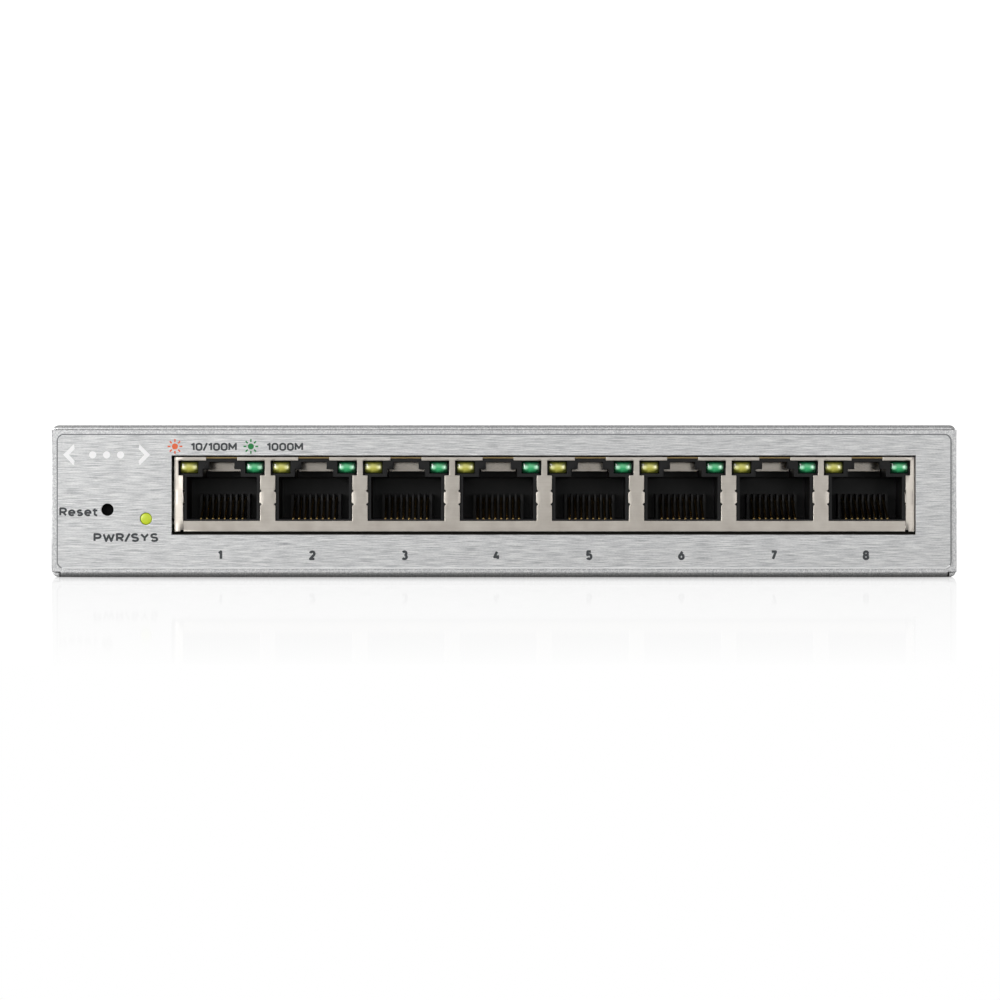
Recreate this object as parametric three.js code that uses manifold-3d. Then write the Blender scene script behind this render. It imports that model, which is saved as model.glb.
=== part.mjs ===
// An eight-port desktop Ethernet switch: a folded sheet-steel case round one circuit board.
// Millimetres, +Z up. The port wall faces -Y. The origin is the centre of the footprint,
// on the surface that the case stands on.

import * as THREE from "three";
import { mergeVertices } from "three/addons/utils/BufferGeometryUtils.js";
import Module from "manifold-3d";

const wasm = await Module();
wasm.setup();

// ---------------------------------------------------------------- driving dimensions

// Fits
const SEAT = 0.05; // left between faces that bear on each other
const SLIP = 0.3; // left between pieces that slide past each other

// Case
const DEPTH = 100;
const HEIGHT = 26;
const SHEET = 0.8;
const FLOOR_BEND = 1.4; // outer radius where the floor turns up into a wall
const LIP_BEND = 1.0; // outer radius at the top of a wall
const LIP = 5; // how far a wall's top lip reaches in
const COVER_BEND = 1.2;
const CURL = 1.2; // how far the cover's lower edges curl in
const CURL_BEND = 1.0;
const LIP_END_GAP = 2; // from the side to the end of a wall's lip
const LEFT_PANEL = 21; // from the case's left side to the row of jacks
const RIGHT_PANEL = 7.2; // from the row of jacks to the right side

// Front label
const LABEL_THICK = 0.3;
const LABEL_SIDE = 0.9; // wall left showing beside the label
const LABEL_BELOW = 1.4;
const LABEL_ABOVE = 1.5;
const LABEL_CORNER = 1.2;
const WALL_HOLE_MORE = 0.25; // the wall's round holes are wider than the label's by this all round

// Board
const BOARD_THICK = 1.6;
const BOARD_UNDER = 6.2; // height of the board's underside
const BOARD_SIDE = 6; // from the case's side to the board's edge
const BOARD_FRONT = 1.6; // from the front wall's inner face to the board
const BOARD_BACK = 0.7;
const POST_IN_X = 8; // board posts, in from the board's edges
const POST_IN_FRONT = 42;
const POST_IN_BACK = 9;
const POST_TOP_R = 3.2;
const POST_SPREAD = 2; // how much wider the post is at the floor

// M3 screws
const SCREW_R = 1.4;
const SCREW_HOLE_R = 1.6;
const PAN_R = 2.75;
const PAN_HIGH = 1.9;
const FLAT_R = 2.75;
const FLAT_HIGH = 1.5;
const FLAT_RIM = 0.15; // straight edge of a countersunk head
const SUNK = 0.1; // countersunk heads below the cover's side
const BOARD_SCREW_LONG = 4;
const COVER_SCREW_LONG = 4.9;
const RECESS = 1.8; // reach of each arm of the cross recess
const RECESS_WIDE = 0.5;
const RECESS_DEEP = 1.0;

// Cover fixing
const COVER_SCREW_IN_Y = 12; // from the front and back of the case
const COVER_SCREW_Z = 9.5;
const DIMPLE_R = FLAT_R + 0.15; // a countersunk dimple's mouth
const DIMPLE_DEEP = 1.2; // beyond the side's inner face
const EAR_WIDE = 10;
const EAR_ABOVE = 4; // ear above the screw
const EAR_NOTCH = 2; // how far in the floor is cut away beside an ear

// Side vents
const VENT_MARGIN = 9; // from a cover screw to the nearest vent
const VENT_PITCH = 4.2;
const VENT_WIDE = 1.8;
const VENT_LOW = 7;
const VENT_ABOVE = 6.5; // from the top of a vent to the top of the case

// Wall-mount keyholes in the floor
const KEYHOLE_SPACING = 100;
const KEYHOLE_HEAD_R = 3.6;
const KEYHOLE_NECK_R = 1.8;
const KEYHOLE_RUN = 6.5;

// Modular jacks, from the board's top and the jack's front face
const PORTS = 8;
const PORT_PITCH = 15.8;
const JACK_HIGH = 12.75;
const JACK_DEEP = 16.5;
const JACK_SET_BACK = 0.6; // behind the label's face
const PLATE = 0.3; // shield sheet
const SHIELD_BEND = 1.2;
const SHIELD_END = 0.4; // shield past the last pitch, both ends together
const HOUSING_CORNER = 0.75; // cut off a housing's front corners, inside the shield's bend
const RETURN = 4; // front shield's side and top returns
const WINDOW_GAP = 0.3; // case cut-out round the shield
const WINDOW_ABOVE = 0.3;
const WINDOW_BELOW = 0.6;
const WEB = 0.97; // shield left between the lamp windows
const PLUG_WIDE = 12.0; // inside of a jack, the standard plug's width and play
const PLUG_LOW = 2.1;
const PLUG_HIGH = 9.3;
const PLUG_DEEP = 11.2;
const MOUTH_WIDE = 13.2; // shield window over the plug opening
const MOUTH_LOW = 1.8;
const LAMP_BAND_LOW = 9.6;
const LAMP_BAND_HIGH = 12.1;
const LATCH_WALL = 1.2;
const LATCH_STEP_WIDE = 6.5;
const LATCH_STEP_HIGH = 10.65;
const LATCH_SLOT_WIDE = 4.3;
const LATCH_SLOT_HIGH = 11.9;
const LATCH_DEEP = 10;
const LATCH_NOTCH_WIDE = 5.3; // in the shield's front, over the latch slot
const TONGUE_BACK = 9; // shield tongue behind the front face
const TONGUE_WIDE = 6.1;
const TONGUE_LOW = 10.35;
const NICK = 0.28; // small reliefs beside each grounding tab
const NICK_LOW = 4.65;
const NICK_HIGH = 6.9;
const TAB_BULGE = 0.18;

// Contacts
const CONTACTS = 8;
const CONTACT_PITCH = 1.016; // the plug standard's pitch
const WIRE_WIDE = 0.4;
const WIRE_THICK = 0.3;
const ROOT_Y = 1.15; // hinge line of the wires, from the jack's front face
const ROOT_Z = 1.4;
const ROOT_R = 0.3; // half the bar's thickness
const WIRE_END_Y = 9.9;
const WIRE_END_Z = 5.6;
const COMB_FRONT = 8.4;
const COMB_HIGH = 6.4;
const COMB_SLOT_WIDE = 0.62;
const COMB_SIDE = 0.3; // comb past its outer slots
const TROUGH_LOW = 0.8;

// Port lamps
const LAMP_WIDE = 3.0;
const LAMP_HIGH = 1.9;
const LAMP_LONG = 9;
const LAMP_IN = 2.3; // lamp's middle, in from the port's edge
const LAMP_Z = 10.95;
const LAMP_GAP = 0.08;
const LAMP_SET_BACK = 0.35;

// Status lamp and reset button
const STATUS_IN = 16.2; // from the case's left side
const STATUS_ABOVE = 2.15; // above the board
const STATUS_R = 0.95;
const STATUS_HOLE_R = 1.05;
const STATUS_BODY_R = 1.45;
const STATUS_LONG = 3.2; // the lamp's body, behind its nose
const HOLDER_WIDE = 4.2;
const HOLDER_DEEP = 5;
const HOLDER_BACK = 3.6; // behind the label's face
const HOLDER_ABOVE = 0.7; // holder above the lamp's body
const RESET_IN = 9.6; // from the case's left side
const RESET_ABOVE = 3.7; // above the board
const RESET_HOLE_R = 1.05;
const RESET_BODY_WIDE = 6.2;
const RESET_BODY_DEEP = 3.6;
const RESET_BODY_HIGH = 6.8;
const RESET_BODY_BACK = 5.6; // behind the label's face
const BUTTON_R = 1.7;
const BUTTON_PLAY = 0.15;
const BUTTON_OUT = 2.4;
const BUTTON_IN = 1.6;
const BUTTON_TRAVEL = 0.3;
const BUTTON_CHAMFER = 0.2;

// Power inlet
const INLET_IN = 25.5; // from the case's right side
const INLET_WIDE = 9.2;
const INLET_HIGH = 11;
const INLET_DEEP = 13;
const INLET_AXIS = 6.4; // above the board
const INLET_COLLAR_R = 4.1;
const INLET_BORE_R = 3.1;
const INLET_BORE_DEEP = 9.5;
const INLET_PIN_R = 1.0;
const INLET_PIN_LONG = 8.4;
const INLET_PIN_ROOT = 3; // pin inside the moulding
const INLET_PIN_TAPER = 0.4;
const INLET_LEAF_WIDE = 1.8;
const INLET_LEAF_THICK = 0.3;
const INLET_LEAF_POKE = 0.35;
const INLET_SLOT_WIDE = 2.6;
const INLET_SLOT_MORE = 1.5; // leaf's slot beyond the bore, and behind its front wall
const LEAF_DROP = 0.6; // the leaf's middle, below the bore
const LEAF_BEHIND = 0.5; // the leaf's hinge line, behind the bore's end
const LEAF_LONG = 6.4;
const LEAF_BUMP = [2, 3.4, 4, 5.2]; // along the leaf: where the bump starts, tops, ends topping and ends

// Board components
const MODULES = 4; // each transformer module serves two ports
const MODULE_WIDE = 28;
const MODULE_DEEP = 15;
const MODULE_HIGH = 3.6;
const MODULE_GAP = 5; // behind the jacks
const CHIP_LEFT = 8; // left of the case's middle
const CHIP_SIDE = 20;
const CHIP_HIGH = 1.4;
const SINK_SIDE = 27;
const SINK_BASE = 2;
const SINK_HIGH = 9;
const SINK_FINS = 8;
const SINK_FIN_THICK = 1.1;
const CAN_BESIDE = 18; // left of the inlet
const CAN_IN = 10.5; // from the board's back edge
const CAN_R = 4;
const CAN_HIGH = 11.5;
const CAN_GROOVE = 1.6; // the rolled groove's height
const CAN_EDGE = 0.35; // the groove's depth and the top's rounding

// ---------------------------------------------------------------- worked-out places

const JACKS_WIDE = PORTS * PORT_PITCH + SHIELD_END;
const SIDE = (LEFT_PANEL + JACKS_WIDE + RIGHT_PANEL) / 2;
const FACE = -DEPTH / 2; // the label's face
const WALL_FRONT = FACE + LABEL_THICK + SEAT;
const WALL_FRONT_IN = WALL_FRONT + SHEET;
const WALL_BACK = DEPTH / 2;
const WALL_BACK_IN = WALL_BACK - SHEET;
const WALL_TOP = HEIGHT - SHEET - SEAT;
const SIDE_IN = SIDE - SHEET;
const FLOOR_SIDE = SIDE - CURL - SLIP;
const BOARD_TOP = BOARD_UNDER + BOARD_THICK;
const BOARD_X = SIDE - BOARD_SIDE;
const BOARD_Y0 = WALL_FRONT_IN + BOARD_FRONT;
const BOARD_Y1 = WALL_BACK_IN - BOARD_BACK;
const JACK_FRONT = FACE + JACK_SET_BACK;
const JACK_FOOT = SEAT; // above the board
const JACKS_X = -SIDE + LEFT_PANEL + JACKS_WIDE / 2; // middle of the row
const LAMP_X = PORT_PITCH / 2 - LAMP_IN;
const STATUS_X = -SIDE + STATUS_IN;
const STATUS_Z = BOARD_TOP + STATUS_ABOVE;
const RESET_X = -SIDE + RESET_IN;
const RESET_Z = BOARD_TOP + RESET_ABOVE;
const INLET_X = SIDE - INLET_IN;
const MODULES_Y = JACK_FRONT + JACK_DEEP + MODULE_GAP; // front of the transformer modules
const CHIP_Y = (MODULES_Y + MODULE_DEEP + BOARD_Y1) / 2;
const SIDES = [-1, 1];
const SCREW_YS = [FACE + COVER_SCREW_IN_Y, WALL_BACK - COVER_SCREW_IN_Y];
const COVER_SCREWS = SIDES.flatMap((side) => SCREW_YS.map((y) => [side, y]));
const POSTS = [BOARD_Y0 + POST_IN_FRONT, BOARD_Y1 - POST_IN_BACK].flatMap((y) =>
  SIDES.map((side) => [side * (BOARD_X - POST_IN_X), y]),
);
const portInRow = (i) => (i - (PORTS - 1) / 2) * PORT_PITCH;

// ---------------------------------------------------------------- solids

const SMALL_ROUND = 12; // sides of a screw and what it goes through
const LARGE_ROUND = 40; // sides of the inlet's collar and bore
const PAST = 1; // how far a cutter goes past the faces it cuts through

const ALONG_X = new THREE.Matrix4().makeBasis(
  new THREE.Vector3(0, 1, 0),
  new THREE.Vector3(0, 0, 1),
  new THREE.Vector3(1, 0, 0),
);

// A closed geometry as a solid that can be joined and cut.
function solid(geometry) {
  const bare = geometry.clone();
  bare.deleteAttribute("normal");
  bare.deleteAttribute("uv");
  const merged = mergeVertices(bare, 1e-4);
  return new wasm.Manifold(
    new wasm.Mesh({
      numProp: 3,
      vertProperties: merged.attributes.position.array,
      triVerts: new Uint32Array(merged.index.array),
    }),
  );
}

// A solid as a geometry again.
function geometryOf(made) {
  const mesh = made.getMesh();
  const geometry = new THREE.BufferGeometry();
  geometry.setAttribute("position", new THREE.BufferAttribute(mesh.vertProperties, 3));
  geometry.setIndex(new THREE.BufferAttribute(mesh.triVerts, 1));
  geometry.computeVertexNormals();
  return geometry;
}

const box = (x0, x1, y0, y1, z0, z1) =>
  solid(
    new THREE.BoxGeometry(x1 - x0, y1 - y0, z1 - z0).translate(
      (x0 + x1) / 2,
      (y0 + y1) / 2,
      (z0 + z1) / 2,
    ),
  );

// A box on the left (side -1) or the right (side 1), from near to far of the middle.
const sideBox = (side, near, far, ...rest) =>
  side > 0 ? box(near, far, ...rest) : box(-far, -near, ...rest);

const extruded = (shape, depth, curveSegments) =>
  new THREE.ExtrudeGeometry(shape, { depth, bevelEnabled: false, curveSegments });

// A (y, z) shape carried along X, an (x, z) shape along Y, and an (x, y) shape along Z.
const prismX = (shape, x0, x1, arcs = 2) =>
  solid(extruded(shape, x1 - x0, arcs).applyMatrix4(ALONG_X).translate(x0, 0, 0));
const prismY = (shape, y0, y1, arcs = 2) =>
  solid(extruded(shape, y1 - y0, arcs).rotateX(Math.PI / 2).translate(0, y1, 0));
const prismZ = (shape, z0, z1, arcs = 2) => solid(extruded(shape, z1 - z0, arcs).translate(0, 0, z0));

// A closed (radius, height) profile turned about +Z.
function turned(profile, sides = 16) {
  const points = [...profile, profile[0]].map(([r, z]) => new THREE.Vector2(r, z));
  return solid(new THREE.LatheGeometry(points, sides).rotateX(Math.PI / 2));
}

const rod = (r, z0, z1, sides = 16) =>
  turned([[0, z0], [r, z0], [r, z1], [0, z1]], sides);

const joined = (pieces) => pieces.reduce((whole, piece) => whole.add(piece));
const without = (whole, cuts) => cuts.reduce((left, cut) => left.subtract(cut), whole);

// ---------------------------------------------------------------- outlines

// A strip of sheet that follows an open run of outer corners, turning left at each with an outer radius.
function bentSheet(corners, radii, thickness) {
  const unit = (a, b) => [b[0] - a[0], b[1] - a[1]].map((v) => v / Math.hypot(b[0] - a[0], b[1] - a[1]));
  const left = ([x, y]) => [-y, x];
  const bends = radii.map((radius, i) => {
    const [before, at, after] = corners.slice(i, i + 3);
    const into = unit(before, at);
    const out = unit(at, after);
    const half = Math.acos(into[0] * out[0] + into[1] * out[1]) / 2;
    const run = radius * Math.tan(half);
    const centre = [0, 1].map((k) => at[k] - into[k] * run + left(into)[k] * radius);
    const start = Math.atan2(-left(into)[1], -left(into)[0]);
    return { centre, radius, start, end: start + 2 * half };
  });
  const offset = (point, direction) => point.map((v, k) => v + left(direction)[k] * thickness);
  const first = corners[0];
  const last = corners[corners.length - 1];
  const firstIn = offset(first, unit(first, corners[1]));
  const lastIn = offset(last, unit(corners[corners.length - 2], last));
  const shape = new THREE.Shape();
  const arc = ({ centre, radius, start, end }, less, back) => {
    const r = radius - less;
    const [a, b] = back ? [end, start] : [start, end];
    shape.lineTo(centre[0] + r * Math.cos(a), centre[1] + r * Math.sin(a));
    shape.absarc(centre[0], centre[1], r, a, b, back);
  };
  shape.moveTo(...first);
  bends.forEach((bend) => arc(bend, 0, false));
  shape.lineTo(...last);
  shape.lineTo(...lastIn);
  [...bends].reverse().forEach((bend) => arc(bend, thickness, true));
  shape.lineTo(...firstIn);
  shape.closePath();
  return shape;
}

// A rectangle with its four corners rounded, or each corner by its own radius from the lower left round.
function roundedRectangle(x0, x1, y0, y1, radius, Kind = THREE.Shape) {
  const [ll, lr, ur, ul] = Array.isArray(radius) ? radius : [radius, radius, radius, radius];
  const shape = new Kind();
  const quarter = Math.PI / 2;
  shape.moveTo(x0 + ll, y0);
  shape.lineTo(x1 - lr, y0);
  if (lr) shape.absarc(x1 - lr, y0 + lr, lr, -quarter, 0, false);
  shape.lineTo(x1, y1 - ur);
  if (ur) shape.absarc(x1 - ur, y1 - ur, ur, 0, quarter, false);
  shape.lineTo(x0 + ul, y1);
  if (ul) shape.absarc(x0 + ul, y1 - ul, ul, quarter, 2 * quarter, false);
  shape.lineTo(x0, y0 + ll);
  if (ll) shape.absarc(x0 + ll, y0 + ll, ll, 2 * quarter, 3 * quarter, false);
  shape.closePath();
  return shape;
}

function circle(x, y, r, Kind = THREE.Shape) {
  const shape = new Kind();
  shape.moveTo(x + r, y);
  shape.absarc(x, y, r, 0, 2 * Math.PI, false);
  return shape;
}

// ---------------------------------------------------------------- case

// The holes that the front wall and the label share, in (x, z), grown by a margin on the round ones.
function frontHoles(margin) {
  const high = BOARD_TOP + JACK_FOOT + JACK_HIGH;
  const half = JACKS_WIDE / 2 + WINDOW_GAP;
  const window = roundedRectangle(
    JACKS_X - half,
    JACKS_X + half,
    BOARD_TOP - WINDOW_BELOW,
    high + WINDOW_ABOVE,
    0,
    THREE.Path,
  );
  return [
    window,
    circle(STATUS_X, STATUS_Z, STATUS_HOLE_R + margin, THREE.Path),
    circle(RESET_X, RESET_Z, RESET_HOLE_R + margin, THREE.Path),
  ];
}

function frontLabel() {
  const shape = roundedRectangle(
    -SIDE + LABEL_SIDE,
    SIDE - LABEL_SIDE,
    LABEL_BELOW,
    HEIGHT - LABEL_ABOVE,
    LABEL_CORNER,
  );
  shape.holes.push(...frontHoles(0));
  return prismY(shape, FACE, FACE + LABEL_THICK, 4);
}

// An embossed post: a hollow cone pressed up from the floor, with the screw's hole in its top.
function post(x, y) {
  const foot = POST_TOP_R + POST_SPREAD;
  const top = BOARD_UNDER - SEAT;
  return turned(
    [
      [foot - SHEET, 0],
      [foot + SHEET, 0],
      [foot + SHEET, SHEET / 2],
      [POST_TOP_R, top],
      [SCREW_HOLE_R, top],
      [SCREW_HOLE_R, top - SHEET],
      [POST_TOP_R - SHEET, top - SHEET],
    ],
    SMALL_ROUND,
  ).translate([x, y, 0]);
}

const postHole = (x, y) =>
  rod(POST_TOP_R + POST_SPREAD, -PAST, SHEET + PAST, SMALL_ROUND).translate([x, y, 0]);

// A keyhole: the screw head goes in at the wide end, and the neck runs towards +Y.
function keyhole(x) {
  const shape = new THREE.Shape();
  const bite = Math.asin(KEYHOLE_NECK_R / KEYHOLE_HEAD_R);
  const quarter = Math.PI / 2;
  shape.absarc(x, 0, KEYHOLE_HEAD_R, quarter + bite, quarter - bite + 2 * Math.PI, false);
  shape.lineTo(x + KEYHOLE_NECK_R, KEYHOLE_RUN);
  shape.absarc(x, KEYHOLE_RUN, KEYHOLE_NECK_R, 0, 2 * quarter, false);
  shape.closePath();
  return prismZ(shape, -PAST, SHEET + PAST, 4);
}

// An ear bent up from the floor's edge, which takes a cover screw.
function ear(side, y) {
  const outer = SIDE_IN - DIMPLE_DEEP - SEAT;
  const inner = outer - SHEET;
  const profile = bentSheet(
    [[inner - 2 * EAR_NOTCH, 0], [outer, 0], [outer, COVER_SCREW_Z + EAR_ABOVE]],
    [FLOOR_BEND],
    SHEET,
  );
  const blank = prismY(profile, y - EAR_WIDE / 2, y + EAR_WIDE / 2);
  const hole = rod(SCREW_HOLE_R, 0, SIDE, SMALL_ROUND).rotate([0, 90, 0]).translate([0, y, COVER_SCREW_Z]);
  const made = blank.subtract(hole);
  return side > 0 ? made : made.mirror([1, 0, 0]);
}

function bottomChassis() {
  const profile = bentSheet(
    [
      [WALL_FRONT + LIP, WALL_TOP],
      [WALL_FRONT, WALL_TOP],
      [WALL_FRONT, 0],
      [WALL_BACK, 0],
      [WALL_BACK, WALL_TOP],
      [WALL_BACK - LIP, WALL_TOP],
    ],
    [LIP_BEND, FLOOR_BEND, FLOOR_BEND, LIP_BEND],
    SHEET,
  );
  const outline = roundedRectangle(-SIDE, SIDE, -PAST, HEIGHT, [0, 0, COVER_BEND, COVER_BEND]);
  const blank = prismX(profile, -SIDE, SIDE).intersect(
    prismY(outline, WALL_FRONT - PAST, WALL_BACK + PAST, 4),
  );
  const relief = SIDES.map((side) => {
    const inner = side > 0 ? [0, 0, 0, SLIP] : [0, 0, SLIP, 0];
    const [x0, x1] = side > 0 ? [FLOOR_SIDE, SIDE + PAST] : [-SIDE - PAST, -FLOOR_SIDE];
    const corner = roundedRectangle(x0, x1, -PAST, FLOOR_BEND, inner);
    return prismY(corner, WALL_FRONT - PAST, WALL_BACK + PAST);
  });
  const lipLow = WALL_TOP - LIP_BEND - SHEET;
  const lipEnds = SIDES.map((side) =>
    sideBox(
      side,
      SIDE - LIP_END_GAP,
      SIDE + PAST,
      WALL_FRONT_IN + SEAT,
      WALL_BACK_IN - SEAT,
      lipLow,
      HEIGHT,
    ),
  );
  const frontCuts = frontHoles(WALL_HOLE_MORE).map((hole) =>
    prismY(new THREE.Shape(hole.getPoints(3)), WALL_FRONT - PAST, WALL_FRONT_IN + PAST),
  );
  const inletCut = rod(INLET_COLLAR_R + SLIP, -SHEET - PAST, PAST, LARGE_ROUND)
    .rotate([-90, 0, 0])
    .translate([INLET_X, WALL_BACK, BOARD_TOP + INLET_AXIS]);
  const holes = [
    ...POSTS.map(([x, y]) => postHole(x, y)),
    keyhole(-KEYHOLE_SPACING / 2),
    keyhole(KEYHOLE_SPACING / 2),
  ];
  const earRoot = SIDE_IN - DIMPLE_DEEP - SHEET - EAR_NOTCH;
  const earGaps = COVER_SCREWS.map(([side, y]) => {
    const half = EAR_WIDE / 2 + SLIP;
    return sideBox(side, earRoot, SIDE + PAST, y - half, y + half, -PAST, SHEET + PAST);
  });
  const bare = without(blank, [...relief, ...lipEnds, ...frontCuts, inletCut, ...holes, ...earGaps]);
  return joined([
    bare,
    ...COVER_SCREWS.map(([side, y]) => ear(side, y)),
    ...POSTS.map(([x, y]) => post(x, y)),
  ]);
}

// The side's dimple round a cover screw: a cone of sheet pressed inwards.
function dimple(side, y) {
  const ring = turned(
    [
      [SCREW_HOLE_R, -FLAT_HIGH - SUNK],
      [SCREW_HOLE_R, -SHEET - DIMPLE_DEEP],
      [SCREW_HOLE_R + SHEET + SLIP, -SHEET - DIMPLE_DEEP],
      [DIMPLE_R + SHEET, -SHEET / 2],
      [DIMPLE_R + SHEET, 0],
      [DIMPLE_R, 0],
      [DIMPLE_R, -FLAT_RIM - SUNK],
    ],
    SMALL_ROUND,
  );
  return ring.rotate([0, side * 90, 0]).translate([side * SIDE, y, COVER_SCREW_Z]);
}

const dimpleHole = (side, y) =>
  rod(DIMPLE_R + SHEET / 2, -SHEET - PAST, PAST, SMALL_ROUND)
    .rotate([0, side * 90, 0])
    .translate([side * SIDE, y, COVER_SCREW_Z]);

function topCover() {
  const profile = bentSheet(
    [
      [SIDE - CURL, 0],
      [SIDE, 0],
      [SIDE, HEIGHT],
      [-SIDE, HEIGHT],
      [-SIDE, 0],
      [-SIDE + CURL, 0],
    ],
    [CURL_BEND, COVER_BEND, COVER_BEND, CURL_BEND],
    SHEET,
  );
  const blank = prismY(profile, WALL_FRONT, WALL_BACK, 3);
  const ends = [
    box(-SIDE - PAST, SIDE + PAST, FACE - PAST, WALL_FRONT_IN + SLIP, -PAST, HEIGHT - SHEET),
    box(-SIDE - PAST, SIDE + PAST, WALL_BACK_IN - SLIP, WALL_BACK + PAST, -PAST, HEIGHT - SHEET),
  ];
  const ventRow = SCREW_YS[1] - SCREW_YS[0] - 2 * VENT_MARGIN;
  const ventCount = 1 + Math.floor(ventRow / VENT_PITCH);
  const vents = Array.from({ length: ventCount }, (_, i) => {
    const y = (i - (ventCount - 1) / 2) * VENT_PITCH;
    const slot = roundedRectangle(
      y - VENT_WIDE / 2,
      y + VENT_WIDE / 2,
      VENT_LOW,
      HEIGHT - VENT_ABOVE,
      VENT_WIDE / 2 - SEAT,
    );
    return prismX(slot, -SIDE - PAST, SIDE + PAST, 1);
  });
  const cut = without(blank, [...ends, ...vents, ...COVER_SCREWS.map((place) => dimpleHole(...place))]);
  return joined([cut, ...COVER_SCREWS.map((place) => dimple(...place))]);
}

// ---------------------------------------------------------------- screws

// A cross recess, cut down from the top of a head at z.
const crossRecess = (z) =>
  joined([
    box(-RECESS, RECESS, -RECESS_WIDE / 2, RECESS_WIDE / 2, z - RECESS_DEEP, z + PAST),
    box(-RECESS_WIDE / 2, RECESS_WIDE / 2, -RECESS, RECESS, z - RECESS_DEEP, z + PAST),
  ]).intersect(rod(RECESS, z - RECESS_DEEP - PAST, z + 2 * PAST, SMALL_ROUND));

// A countersunk screw whose head is flush with z = 0.
const flatScrew = () =>
  turned(
    [
      [0, -COVER_SCREW_LONG],
      [SCREW_R, -COVER_SCREW_LONG],
      [SCREW_R, -FLAT_HIGH],
      [FLAT_R, -FLAT_RIM],
      [FLAT_R, 0],
      [0, 0],
    ],
    SMALL_ROUND,
  ).subtract(crossRecess(0));

// A pan-head screw whose head bears on z = 0.
const panScrew = () =>
  turned(
    [
      [0, -BOARD_SCREW_LONG],
      [SCREW_R, -BOARD_SCREW_LONG],
      [SCREW_R, 0],
      [PAN_R, 0],
      [PAN_R, PAN_HIGH * 0.5],
      [PAN_R * 0.75, PAN_HIGH],
      [0, PAN_HIGH],
    ],
    SMALL_ROUND,
  ).subtract(crossRecess(PAN_HIGH));

// ---------------------------------------------------------------- jacks

// One port's window in the shield's front, in (x, z) about the port's middle.
function portWindow(x) {
  const lamp = (PORT_PITCH - WEB) / 2;
  const mouth = MOUTH_WIDE / 2;
  const notch = LATCH_NOTCH_WIDE / 2;
  const top = JACK_HIGH - PLATE;
  const rightSide = [
    [mouth, MOUTH_LOW],
    [mouth, NICK_LOW - NICK],
    [mouth + NICK, NICK_LOW],
    [mouth - TAB_BULGE, NICK_LOW + NICK],
    [mouth - TAB_BULGE, NICK_HIGH - NICK],
    [mouth + NICK, NICK_HIGH],
    [mouth, NICK_HIGH + NICK],
    [mouth, LAMP_BAND_LOW],
    [lamp, LAMP_BAND_LOW],
    [lamp, LAMP_BAND_HIGH],
    [notch, LAMP_BAND_HIGH],
    [notch, top],
  ];
  const leftSide = rightSide.map(([dx, z]) => [-dx, z]).reverse();
  const points = [...rightSide, ...leftSide].map(([dx, z]) => new THREE.Vector2(x + dx, z));
  return new THREE.Shape(points);
}

// The shield's front, folded back at both ends and along the top. In the row's own frame.
function frontShield() {
  const half = JACKS_WIDE / 2;
  const profile = bentSheet(
    [[-half, RETURN], [-half, 0], [half, 0], [half, RETURN]],
    [SHIELD_BEND, SHIELD_BEND],
    PLATE,
  );
  const wrap = prismZ(profile, JACK_FOOT, JACK_HIGH - PLATE, 3);
  const roofShape = new THREE.Shape();
  roofShape.moveTo(half, RETURN);
  roofShape.lineTo(-half, RETURN);
  roofShape.lineTo(-half, SHIELD_BEND);
  roofShape.absarc(-half + SHIELD_BEND, SHIELD_BEND, SHIELD_BEND, Math.PI, 1.5 * Math.PI, false);
  roofShape.lineTo(half - SHIELD_BEND, 0);
  roofShape.absarc(half - SHIELD_BEND, SHIELD_BEND, SHIELD_BEND, 1.5 * Math.PI, 2 * Math.PI, false);
  roofShape.closePath();
  const roof = prismZ(roofShape, JACK_HIGH - PLATE, JACK_HIGH, 3);
  const windows = Array.from({ length: PORTS }, (_, i) =>
    prismY(portWindow(portInRow(i)), -PAST, PLATE + SLIP),
  );
  const nick = half - SHIELD_BEND;
  const cornerNicks = SIDES.map((side) =>
    sideBox(side, nick - NICK, nick + NICK, -PAST, PLATE + PAST, -PAST, JACK_FOOT + NICK),
  );
  return without(joined([wrap, roof]), [...windows, ...cornerNicks]);
}

// The shield's rear shell, with a tongue hanging into each port's latch slot.
function rearShield() {
  const half = JACKS_WIDE / 2;
  const profile = bentSheet(
    [[half, RETURN + SLIP], [half, JACK_DEEP], [-half, JACK_DEEP], [-half, RETURN + SLIP]],
    [SHIELD_BEND, SHIELD_BEND],
    PLATE,
  );
  const wrap = prismZ(profile, JACK_FOOT, JACK_HIGH, 3);
  const roof = box(
    -half + PLATE / 2,
    half - PLATE / 2,
    RETURN + SLIP,
    JACK_DEEP - PLATE / 2,
    JACK_HIGH - PLATE,
    JACK_HIGH,
  );
  const inside = new THREE.Shape();
  const cut = SHIELD_BEND;
  inside.moveTo(-half, RETURN);
  inside.lineTo(half, RETURN);
  inside.lineTo(half, JACK_DEEP - cut);
  inside.absarc(half - cut, JACK_DEEP - cut, cut, 0, Math.PI / 2, false);
  inside.lineTo(-half + cut, JACK_DEEP);
  inside.absarc(-half + cut, JACK_DEEP - cut, cut, Math.PI / 2, Math.PI, false);
  inside.closePath();
  const trimmedRoof = roof.intersect(prismZ(inside, 0, JACK_HIGH + PAST, 3));
  const tongues = Array.from({ length: PORTS }, (_, i) => {
    const x = portInRow(i);
    return box(
      x - TONGUE_WIDE / 2,
      x + TONGUE_WIDE / 2,
      TONGUE_BACK,
      TONGUE_BACK + PLATE,
      TONGUE_LOW,
      JACK_HIGH - PLATE / 2,
    );
  });
  return joined([wrap, trimmedRoof, ...tongues]);
}

const contactX = (i) => (i - (CONTACTS - 1) / 2) * CONTACT_PITCH;

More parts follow.
